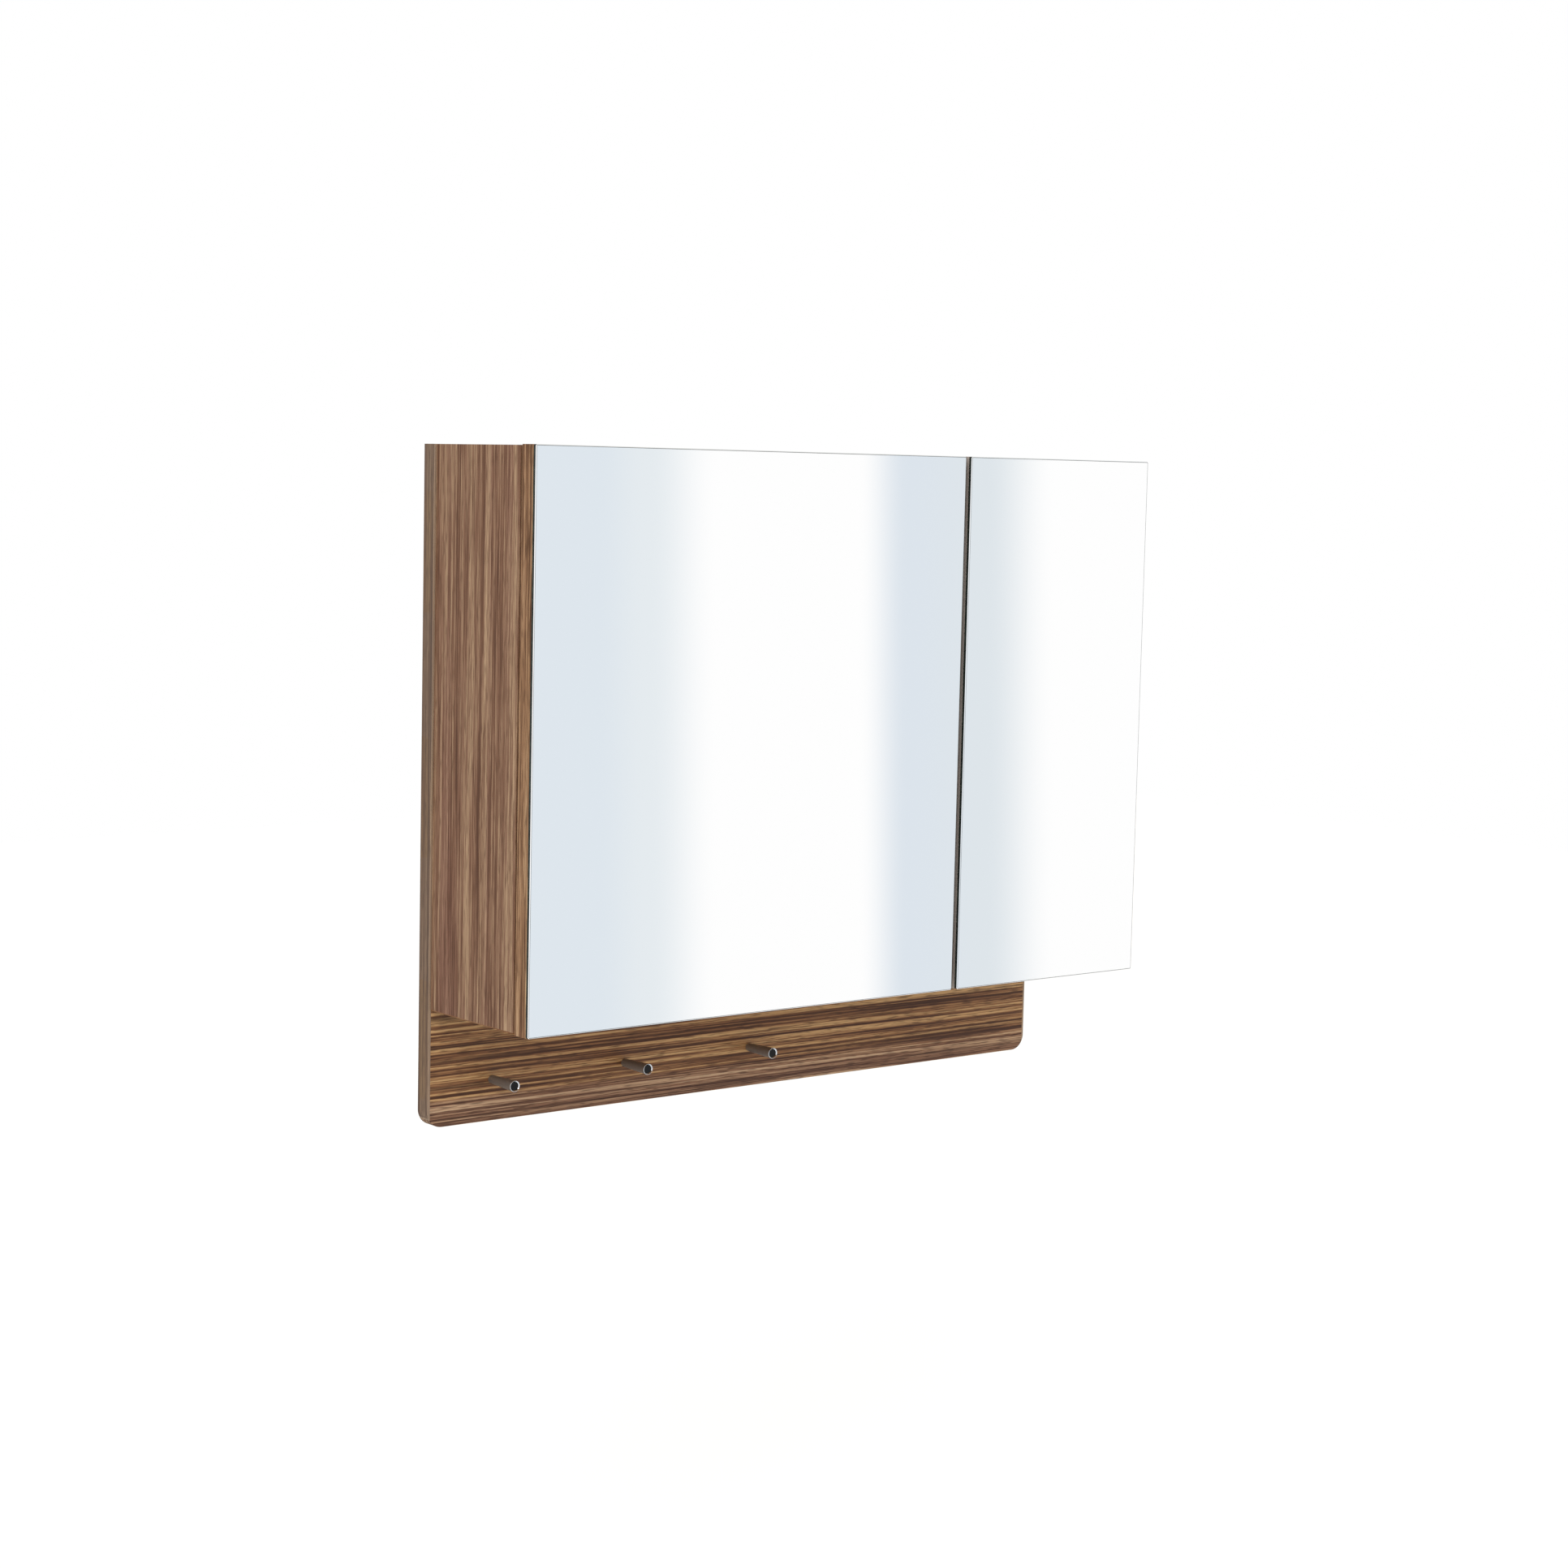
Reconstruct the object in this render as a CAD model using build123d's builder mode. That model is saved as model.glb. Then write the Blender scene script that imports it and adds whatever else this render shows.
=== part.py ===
"""Hanging mirror cabinet on a veneered back panel with three coat pegs.

Frame: X to the right, +Y into the wall, Z up, in millimetres. The rear face of the back panel is y = 0, x = 0 is
the middle of the panel and z = 0 is the height of the two hanging points.
"""
import os

from build123d import *

os.makedirs("parts", exist_ok=True)

# Back panel
panel_width = 800.0
panel_height = 672.0
panel_thick = 18.0
panel_corner_r = 17.0
panel_arris = 1.0
hang_drop = 60.0

# Box behind the doors
box_height = 554.0
box_depth = 146.0
board_thick = 18.0
side_inset = 2.5
board_arris = 0.6

# Doors: board and mirror, resting on bumpers
door_rest_gap = 3.0
door_board_thick = 19.0
mirror_thick = 4.0
mirror_arris = 0.7
mirror_corner_clip = 1.2
door_overhang = 0.8
left_door_width = 531.5
meeting_gap = 7.0
bumper_r = 4.0
bumper_inset = 28.0

# Glass shelves and their pins
shelf_thick = 5.0
shelf_depth = 112.0
shelf_side_gap = 1.5
shelf_rear_gap = 3.0
shelf_edge_chamfer = 0.6
shelf_count = 2
pin_r = 2.5
pin_depth = 9.0
pin_reach = 8.0
pin_inset = 26.0
pin_row_pitch = 32.0
pin_web = 1.0

# Coat pegs
peg_first_x = 75.0
peg_pitch = 162.5
peg_count = 3
peg_height = 42.0
peg_length = 42.0
peg_foot_r = 4.2
peg_head_r = 5.7
peg_rim = 0.4
peg_dish = 0.8
plug_r = 4.5
plug_thick = 3.0
plug_arris = 0.3
peg_screw_r = 2.4
peg_screw_bite = 14.0
peg_screw_head_r = 4.5
peg_screw_head_h = 3.0
peg_counterbore = 5.0

# Concealed single-pivot hinges
hinge_end_inset = 90.0
hinge_edge_to_pin = 7.3
hinge_pin_depth = 9.0
hinge_pin_r = 1.4
hinge_eye_wall = 1.25
hinge_eye_width = 8.0
cup_r = 17.4
cup_edge_to_rim = 3.1
cup_wall = 0.8
cup_flange_thick = 1.0
cup_flange_lip = 1.1
cup_wing_length = 56.0
cup_wing_width = 12.0
cup_screw_pitch = 45.0
cup_screw_offset = 9.5
cup_screw_r = 1.7
cup_screw_head_r = 3.3
cup_screw_head_h = 1.4
cup_screw_bite = 11.0
arm_thick = 2.2
arm_bend_r = 4.0
arm_body_width = 16.0
arm_body_start = 12.0
arm_body_length = 42.0
arm_wall = 1.4
arm_wall_height = 7.5
plate_thick = 2.5
plate_width = 18.0
plate_length = 44.0
plate_wing_length = 44.0
plate_wing_width = 14.0
plate_setback = 37.0
plate_screw_pitch = 32.0
plate_screw_r = 2.0
plate_screw_head_r = 3.5
plate_screw_head_h = 1.6
plate_screw_bite = 11.0
arm_screw_r = 1.9
arm_screw_head_r = 3.4
arm_screw_head_h = 2.0
arm_screw_pitch = 22.0

# Corner dowels, cam locks and their bolts
dowel_r = 4.0
dowel_side_bite = 12.0
dowel_end_bite = 18.0
cam_r = 7.5
cam_depth = 12.5
cam_setback = 24.0
cam_edge_inset = 32.0
cam_slot_width = 2.0
cam_slot_depth = 1.5
bolt_r = 3.0
bolt_thread_r = 2.5
bolt_bite = 11.0

# Countersunk screws through boards
board_screw_r = 2.0
board_screw_head_r = 4.0
board_screw_head_h = 2.2
board_screw_bite = 24.0
board_screw_sink = 0.3
panel_screw_rows = 3

# Keyhole hanger plates and the lower wall fixings
hanger_inset = 90.0
hanger_width = 30.0
hanger_height = 64.0
hanger_thick = 2.0
hanger_corner_r = 4.0
hanger_entry_r = 5.0
hanger_slot_r = 2.5
hanger_slot_rise = 10.0
hanger_screw_pitch = 48.0
hanger_screw_r = 1.7
hanger_screw_head_r = 3.2
hanger_screw_head_h = 1.5
hanger_screw_bite = 11.0
hanger_pocket_depth = 12.0
hanger_pocket_margin = 2.0
fixing_inset = 80.0
fixing_hole_r = 3.25
fixing_height = 46.0

# Magnet catches under the top board and their strike plates on the doors
catch_inset = 62.0
catch_width = 38.0
catch_height = 12.0
catch_depth = 16.0
catch_setback = 1.0
magnet_width = 22.0
magnet_height = 6.0
magnet_depth = 10.0
strike_thick = 1.5
strike_width = 28.0
strike_height = 10.0
strike_spigot_r = 2.5
strike_spigot_bite = 8.0
catch_screw_pitch = 30.0
catch_screw_r = 1.6
catch_screw_head_r = 2.9
catch_screw_head_h = 1.5
catch_screw_bite = 10.0

# Clearances
fit_gap = 0.1
running_gap = 0.05
cup_floor_gap = 0.3
lug_side_gap = 0.5
pin_press_gap = 0.01

# Places that follow from the sizes above
panel_top = hang_drop
panel_bottom = panel_top - panel_height
panel_front = -panel_thick
box_bottom = panel_top - box_height
box_front = panel_front - box_depth
box_half = panel_width / 2 - side_inset
inner_half = box_half - board_thick
inner_top = panel_top - board_thick
inner_bottom = box_bottom + board_thick
door_back = box_front - door_rest_gap
door_front = door_back - door_board_thick
mirror_front = door_front - mirror_thick
door_top = panel_top + door_overhang
door_bottom = box_bottom - door_overhang
meeting_x = -box_half + left_door_width + meeting_gap / 2
partition_low = meeting_x - board_thick / 2
partition_high = meeting_x + board_thick / 2
peg_z = panel_bottom + peg_height
peg_places = [-panel_width / 2 + peg_first_x + peg_pitch * i for i in range(peg_count)]
hinge_heights = {"upper": door_top - hinge_end_inset, "lower": door_bottom + hinge_end_inset}
shelf_levels = [inner_bottom + (inner_top - inner_bottom) * (i + 1) / (shelf_count + 1) for i in range(shelf_count)]
pin_rows = [panel_front - shelf_rear_gap - pin_inset, panel_front - shelf_rear_gap - shelf_depth + pin_inset]
eye_r = hinge_pin_r + running_gap + hinge_eye_wall
cup_floor = hinge_pin_depth + eye_r + cup_floor_gap
cup_depth = cup_floor + cup_wall
cup_centre = cup_edge_to_rim + cup_r
arm_seat = board_thick + plate_thick
shared_pin_hole = (board_thick - pin_web) / 2

TO_WALL = Vector(0, 1, 0)
TO_FRONT = Vector(0, -1, 0)
UP = Vector(0, 0, 1)
DOWN = Vector(0, 0, -1)


def block(low, high, mode=Mode.ADD):
    """Add or cut the box between two opposite corners, given in any order."""
    spans = [sorted(pair) for pair in zip(low, high)]
    with Locations(tuple((a + b) / 2 for a, b in spans)):
        Box(*(b - a for a, b in spans), mode=mode)


def rods(points, direction, radius, length, mode=Mode.ADD):
    """Add or cut round rods that start at the points and run one way."""
    for point in points:
        with Locations(Plane(origin=point, z_dir=direction)):
            Cylinder(radius, length, align=(Align.CENTER, Align.CENTER, Align.MIN), mode=mode)


def cones(points, direction, start_r, end_r, length, mode=Mode.ADD):
    """Add or cut cones that start at the points and run one way."""
    for point in points:
        with Locations(Plane(origin=point, z_dir=direction)):
            Cone(start_r, end_r, length, align=(Align.CENTER, Align.CENTER, Align.MIN), mode=mode)


def countersunk_screws(points, direction, reach):
    """Add countersunk screws whose heads start at the points, sunk a little below the face."""
    sunk = [Vector(point) + direction * board_screw_sink for point in points]
    cones(sunk, direction, board_screw_head_r, board_screw_r, board_screw_head_h)
    rods(sunk, direction, board_screw_r, reach - board_screw_sink)


def countersunk_holes(points, direction, through):
    """Cut the holes that countersunk screws pass through."""
    rods(points, direction, board_screw_head_r + fit_gap, board_screw_sink, Mode.SUBTRACT)
    sunk = [Vector(point) + direction * board_screw_sink for point in points]
    wide = board_screw_head_r + fit_gap
    cones(sunk, direction, wide, board_screw_r + fit_gap, board_screw_head_h, Mode.SUBTRACT)
    rods(points, direction, board_screw_r + fit_gap, through, Mode.SUBTRACT)


def headed_screws(points, direction, head_r, head_h, shank_r, shank_length):
    """Add round-headed screws whose heads sit on the face at the points."""
    rods(points, direction, shank_r, shank_length)
    rods(points, direction * -1, head_r, head_h)


def save(piece, name):
    """Label a finished piece and write it."""
    piece.part.label = name
    export_step(piece.part, f"parts/{name}.step")


def hinge_point(hand, inward, forward, z):
    """Place a point by its distance in from the door's outer edge and forward of the box, hand 1 left, -1 right."""
    return (hand * (inward - box_half), box_front - forward, z)


def hinge_outward(hand):
    """Direction from the inside of the box towards the hinge's side board."""
    return Vector(-hand, 0, 0)


# Screw rows that hold the back panel to the box, from behind
row_step = (box_height - 2 * cam_edge_inset) / (panel_screw_rows - 1)
side_rows = [box_bottom + cam_edge_inset + row_step * i for i in range(panel_screw_rows)]
edge_mid = board_thick / 2
panel_screw_places = [(x, 0, z) for x in (-box_half + edge_mid, box_half - edge_mid) for z in side_rows]
panel_screw_places += [(meeting_x, 0, side_rows[i]) for i in (0, -1)]
panel_screw_places += [
    (x, 0, z)
    for x in (-box_half / 2, box_half * 3 / 4)
    for z in (panel_top - edge_mid, box_bottom + edge_mid)
]
panel_screw_reach = panel_thick + board_screw_bite

# Corner joints: a row of cam, dowel, cam along the depth of each joint
cam_rows = [box_front + cam_edge_inset, panel_front - cam_edge_inset]
dowel_row = (box_front + panel_front) / 2
level_mid = {"top": panel_top - edge_mid, "bottom": box_bottom + edge_mid}
corner_dowel_places = [
    ((hand * (inner_half + dowel_side_bite), dowel_row, z), Vector(-hand, 0, 0))
    for hand in (-1, 1)
    for z in level_mid.values()
]
partition_dowel_places = [
    ((meeting_x, y, z), way)
    for y in cam_rows
    for z, way in ((inner_top + dowel_side_bite, DOWN), (inner_bottom - dowel_side_bite, UP))
]
dowel_length = dowel_side_bite + dowel_end_bite
partition_screw_places = {
    "top": (meeting_x, dowel_row, panel_top),
    "bottom": (meeting_x, dowel_row, box_bottom),
}
partition_screw_reach = board_thick + board_screw_bite


def cut_dowel_holes(places):
    """Cut the blind holes that dowels stand in, a little longer than the dowels."""
    for point, way in places:
        start = Vector(point) - way * fit_gap
        rods([start], way, dowel_r + fit_gap, dowel_length + 2 * fit_gap, Mode.SUBTRACT)


def cam_bolt_starts(hand):
    """Points where the cam bolts of one side start, inside that side board."""
    return [(hand * (inner_half + bolt_bite), y, z) for y in cam_rows for z in level_mid.values()]


# Back panel
hanger_places = [s * (panel_width / 2 - hanger_inset) for s in (-1, 1)]
hanger_mid_z = hanger_slot_r - hanger_slot_rise / 2
fixing_z = inner_bottom + fixing_height
fixing_places = [(s * (panel_width / 2 - fixing_inset), 0, fixing_z) for s in (-1, 1)]
hanger_screw_places = [
    (x, -fit_gap - hanger_thick, hanger_mid_z + dz)
    for x in hanger_places
    for dz in (-hanger_screw_pitch / 2, hanger_screw_pitch / 2)
]

with BuildPart() as back_panel:
    with BuildSketch(Plane.XZ) as panel_outline:
        with Locations((0, (panel_top + panel_bottom) / 2)):
            Rectangle(panel_width, panel_height)
        fillet(panel_outline.vertices().group_by(Axis.Y)[0], panel_corner_r)
    extrude(amount=panel_thick)
    front_outline = back_panel.faces().sort_by(Axis.Y)[0].edges().sort_by(Axis.Z)
    fillet(front_outline[:-1], panel_arris)
    countersunk_holes(panel_screw_places, TO_FRONT, panel_thick)
    rods(fixing_places, TO_FRONT, fixing_hole_r, panel_thick, Mode.SUBTRACT)
    peg_centres = [(x, 0, peg_z) for x in peg_places]
    rods(peg_centres, TO_FRONT, peg_screw_head_r + fit_gap, peg_counterbore, Mode.SUBTRACT)
    rods(peg_centres, TO_FRONT, peg_screw_r + fit_gap, panel_thick, Mode.SUBTRACT)
    for x in hanger_places:
        rebate = hanger_thick + fit_gap
        half_w = hanger_width / 2 + fit_gap
        half_h = hanger_height / 2 + fit_gap
        block((x - half_w, 0, hanger_mid_z - half_h), (x + half_w, -rebate, hanger_mid_z + half_h), Mode.SUBTRACT)
        reach = hanger_entry_r + hanger_pocket_margin
        block(
            (x - reach, -rebate, -hanger_slot_rise - reach),
            (x + reach, -hanger_pocket_depth, reach),
            Mode.SUBTRACT,
        )
    rods(hanger_screw_places, TO_FRONT, hanger_screw_r + fit_gap, hanger_screw_bite, Mode.SUBTRACT)
save(back_panel, "back_panel")

# Sides: full height, with shelf-pin rows, hinge plate pilots and corner joint holes
hole_levels = [level + k * pin_row_pitch for level in shelf_levels for k in (-1, 0, 1)]
pin_drop = pin_r


def cut_pin_rows(face_x, inward):
    """Cut the rows of shelf-pin holes in an upright board, from its face at face_x."""
    starts = [(face_x, y, z - pin_drop) for y in pin_rows for z in hole_levels]
    rods(starts, inward, pin_r + fit_gap, pin_depth + fit_gap, Mode.SUBTRACT)


for name, hand in (("left_side", -1), ("right_side", 1)):
    with BuildPart() as side_board:
        block((hand * inner_half, box_front, box_bottom), (hand * box_half, panel_front, panel_top))
        outer_face = (side_board.faces() >> Axis.X) if hand == 1 else (side_board.faces() << Axis.X)
        fillet(outer_face.edges().sort_by(Axis.Y)[:-1], board_arris)
        cut_pin_rows(hand * inner_half, Vector(hand, 0, 0))
        cut_dowel_holes(corner_dowel_places)
        rods(cam_bolt_starts(hand), Vector(-hand, 0, 0), bolt_thread_r + fit_gap, bolt_bite, Mode.SUBTRACT)
        rear_starts = [(x, panel_front, z) for x, _, z in panel_screw_places]
        rods(rear_starts, TO_FRONT, board_screw_r + fit_gap, board_screw_bite + fit_gap, Mode.SUBTRACT)
        for z in hinge_heights.values():
            pilots = [
                hinge_point(-hand, board_thick, -plate_setback, z + dz)
                for dz in (-plate_screw_pitch / 2, plate_screw_pitch / 2)
            ]
            rods(pilots, Vector(hand, 0, 0), plate_screw_r + fit_gap, plate_screw_bite + fit_gap, Mode.SUBTRACT)
    save(side_board, name)

# Magnet catch places, near each door's free edge
catch_places = {
    "left": meeting_x - meeting_gap / 2 - catch_inset,
    "right": meeting_x + meeting_gap / 2 + catch_inset,
}
catch_low = inner_top - catch_height
catch_mid = inner_top - catch_height / 2
catch_face = box_front + catch_setback
catch_screw_y = catch_face + catch_depth / 2
catch_screw_places = [
    (x + s * catch_screw_pitch / 2, catch_screw_y, catch_low) for x in catch_places.values() for s in (-1, 1)
]

# Top and bottom boards between the sides, with the cam pockets on their outer faces
for name, low, high, outer, inward in (
    ("top_board", inner_top, panel_top, panel_top, DOWN),
    ("bottom_board", box_bottom, inner_bottom, box_bottom, UP),
):
    with BuildPart() as level_board:
        block((-inner_half, box_front, low), (inner_half, panel_front, high))
        cut_dowel_holes(corner_dowel_places)
        cut_dowel_holes(partition_dowel_places)
        for hand in (-1, 1):
            ends = [(hand * inner_half, y, (low + high) / 2) for y in cam_rows]
            rods(ends, Vector(-hand, 0, 0), bolt_r + fit_gap, cam_setback, Mode.SUBTRACT)
            pockets = [(hand * (inner_half - cam_setback), y, outer) for y in cam_rows]
            rods(pockets, inward, cam_r + fit_gap, cam_depth + fit_gap, Mode.SUBTRACT)
        rear_starts = [(x, panel_front, z) for x, _, z in panel_screw_places]
        rods(rear_starts, TO_FRONT, board_screw_r + fit_gap, board_screw_bite + fit_gap, Mode.SUBTRACT)
        countersunk_holes([(meeting_x, dowel_row, outer)], inward, board_thick)
        if inward == DOWN:
            pilots = [(x, y, inner_top) for x, y, _ in catch_screw_places]
            rods(pilots, UP, catch_screw_r + fit_gap, catch_screw_bite + fit_gap, Mode.SUBTRACT)
    save(level_board, name)

# Upright partition behind the gap of the doors
with BuildPart() as partition:
    block((partition_low, box_front, inner_bottom), (partition_high, panel_front, inner_top))
    cut_dowel_holes(partition_dowel_places)
    for face_x, inward in ((partition_low, Vector(1, 0, 0)), (partition_high, Vector(-1, 0, 0))):
        starts = [(face_x, y, z - pin_drop) for y in pin_rows for z in hole_levels]
        rods(starts, inward, pin_r + fit_gap, shared_pin_hole, Mode.SUBTRACT)
    rear_starts = [(x, panel_front, z) for x, _, z in panel_screw_places]
    rods(rear_starts, TO_FRONT, board_screw_r + fit_gap, board_screw_bite + fit_gap, Mode.SUBTRACT)
    for point, inward in ((partition_screw_places["top"], DOWN), (partition_screw_places["bottom"], UP)):
        rods([point], inward, board_screw_r + fit_gap, partition_screw_reach + fit_gap, Mode.SUBTRACT)
save(partition, "partition")

# Dowels, cams, cam bolts and the screws through boards
with BuildPart() as dowels:
    for point, way in corner_dowel_places + partition_dowel_places:
        rods([point], way, dowel_r, dowel_length)
save(dowels, "dowels")

with BuildPart() as cam_locks:
    for level, outer, inward in (("top", panel_top, DOWN), ("bottom", box_bottom, UP)):
        for hand in (-1, 1):
            for y in cam_rows:
                x = hand * (inner_half - cam_setback)
                rods([(x, y, outer)], inward, cam_r, cam_depth)
                slot_end = outer + inward.Z * cam_slot_depth
                half = cam_slot_width / 2
                block((x - cam_r / 2, y - half, outer), (x + cam_r / 2, y + half, slot_end), Mode.SUBTRACT)
                mouth = (x + hand * cam_r, y, level_mid[level])
                rods([mouth], Vector(-hand, 0, 0), bolt_r + fit_gap, cam_r, Mode.SUBTRACT)
save(cam_locks, "cam_locks")

with BuildPart() as cam_bolts:
    for hand in (-1, 1):
        way = Vector(-hand, 0, 0)
        rods(cam_bolt_starts(hand), way, bolt_thread_r, bolt_bite)
        necks = [(hand * inner_half, y, z) for y in cam_rows for z in level_mid.values()]
        rods(necks, way, bolt_r, cam_setback - fit_gap)
save(cam_bolts, "cam_bolts")

with BuildPart() as panel_screws:
    countersunk_screws(panel_screw_places, TO_FRONT, panel_screw_reach)
save(panel_screws, "panel_screws")

with BuildPart() as partition_screws:
    countersunk_screws([partition_screw_places["top"]], DOWN, partition_screw_reach)
    countersunk_screws([partition_screw_places["bottom"]], UP, partition_screw_reach)
save(partition_screws, "partition_screws")

# Glass shelves on pins, one pair of levels in each bay
bays = {"left": (-inner_half, partition_low), "right": (partition_high, inner_half)}
shelf_rear = panel_front - shelf_rear_gap

for bay, (low_x, high_x) in bays.items():
    for tier, level in zip(("lower", "upper"), shelf_levels):
        with BuildPart() as shelf:
            block(
                (low_x + shelf_side_gap, shelf_rear - shelf_depth, level),
                (high_x - shelf_side_gap, shelf_rear, level + shelf_thick),
            )
            chamfer(shelf.edges().filter_by(GeomType.LINE), shelf_edge_chamfer)
        save(shelf, f"{bay}_{tier}_shelf")

with BuildPart() as shelf_pins:
    for low_x, high_x in bays.values():
        for face_x, way in ((low_x, Vector(1, 0, 0)), (high_x, Vector(-1, 0, 0))):
            bite = min(pin_depth, shared_pin_hole - fit_gap)
            starts = [(face_x - way.X * bite, y, z - pin_drop) for y in pin_rows for z in shelf_levels]
            rods(starts, way, pin_r, bite + pin_reach)
save(shelf_pins, "shelf_pins")

# Coat pegs, turned: a long taper to a rounded rim, and a countersunk end with a plug pressed into it
rim_sag = peg_rim * (1 - 0.5**0.5)
plug_face = peg_dish - peg_length
plug_rear = plug_face + plug_thick

for place, x in zip(("left", "middle", "right"), peg_places):
    peg_plane = Plane(origin=(x, panel_front, peg_z), x_dir=(1, 0, 0), z_dir=(0, 0, 1))
    with BuildPart() as peg:
        with BuildSketch(peg_plane):
            with BuildLine():
                rim_start = (peg_head_r, peg_rim - peg_length)
                rim_mid = (peg_head_r - rim_sag, rim_sag - peg_length)
                rim_end = (peg_head_r - peg_rim, -peg_length)
                socket_end = plug_rear + fit_gap
                Polyline((0, socket_end), (0, 0), (peg_foot_r, 0), rim_start)
                ThreePointArc(rim_start, rim_mid, rim_end)
                Polyline(rim_end, (plug_r, plug_face), (plug_r, socket_end), (0, socket_end))
            make_face()
        revolve(axis=Axis((x, panel_front, peg_z), (0, 1, 0)))
        hole_depth = peg_screw_bite + fit_gap
        rods([(x, panel_front, peg_z)], TO_FRONT, peg_screw_r + fit_gap, hole_depth, Mode.SUBTRACT)
    save(peg, f"{place}_coat_peg")

    with BuildPart() as plug:
        rods([(x, panel_front + plug_rear, peg_z)], TO_FRONT, plug_r - fit_gap, plug_thick)
        chamfer((plug.faces() << Axis.Y).edges(), plug_arris)
    save(plug, f"{place}_peg_plug")

with BuildPart() as peg_screws:
    seats = [(x, -peg_counterbore, peg_z) for x in peg_places]
    shank = panel_thick - peg_counterbore + peg_screw_bite
    headed_screws(seats, TO_FRONT, peg_screw_head_r, peg_screw_head_h, peg_screw_r, shank)
save(peg_screws, "peg_screws")

# Keyhole hanger plates let into the rear face
for name, x in zip(("left_hanger_plate", "right_hanger_plate"), hanger_places):
    with BuildPart() as hanger:
        with BuildSketch(Plane.XZ.offset(fit_gap)):
            with Locations((x, hanger_mid_z)):
                RectangleRounded(hanger_width, hanger_height, hanger_corner_r)
            with Locations((x, -hanger_slot_rise)):
                Circle(hanger_entry_r, mode=Mode.SUBTRACT)
            with Locations((x, 0)):
                Circle(hanger_slot_r, mode=Mode.SUBTRACT)
            with Locations((x, -hanger_slot_rise / 2)):
                Rectangle(2 * hanger_slot_r, hanger_slot_rise, mode=Mode.SUBTRACT)
            with Locations(*((x, hanger_mid_z + s * hanger_screw_pitch / 2) for s in (-1, 1))):
                Circle(hanger_screw_head_r + fit_gap, mode=Mode.SUBTRACT)
        extrude(amount=hanger_thick)
        eyes = [(x, -fit_gap - hanger_thick, hanger_mid_z + s * hanger_screw_pitch / 2) for s in (-1, 1)]
        collar = hanger_thick - hanger_screw_head_h
        rods(eyes, TO_WALL, hanger_screw_head_r + fit_gap, collar)
        rods(eyes, TO_WALL, hanger_screw_r + fit_gap, collar, Mode.SUBTRACT)
    save(hanger, name)

with BuildPart() as hanger_screws:
    collar = hanger_thick - hanger_screw_head_h
    seats = [(x, y + collar, z) for x, y, z in hanger_screw_places]
    headed_screws(
        seats, TO_FRONT, hanger_screw_head_r, hanger_screw_head_h - fit_gap, hanger_screw_r, hanger_screw_bite
    )
save(hanger_screws, "hanger_screws")


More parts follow.
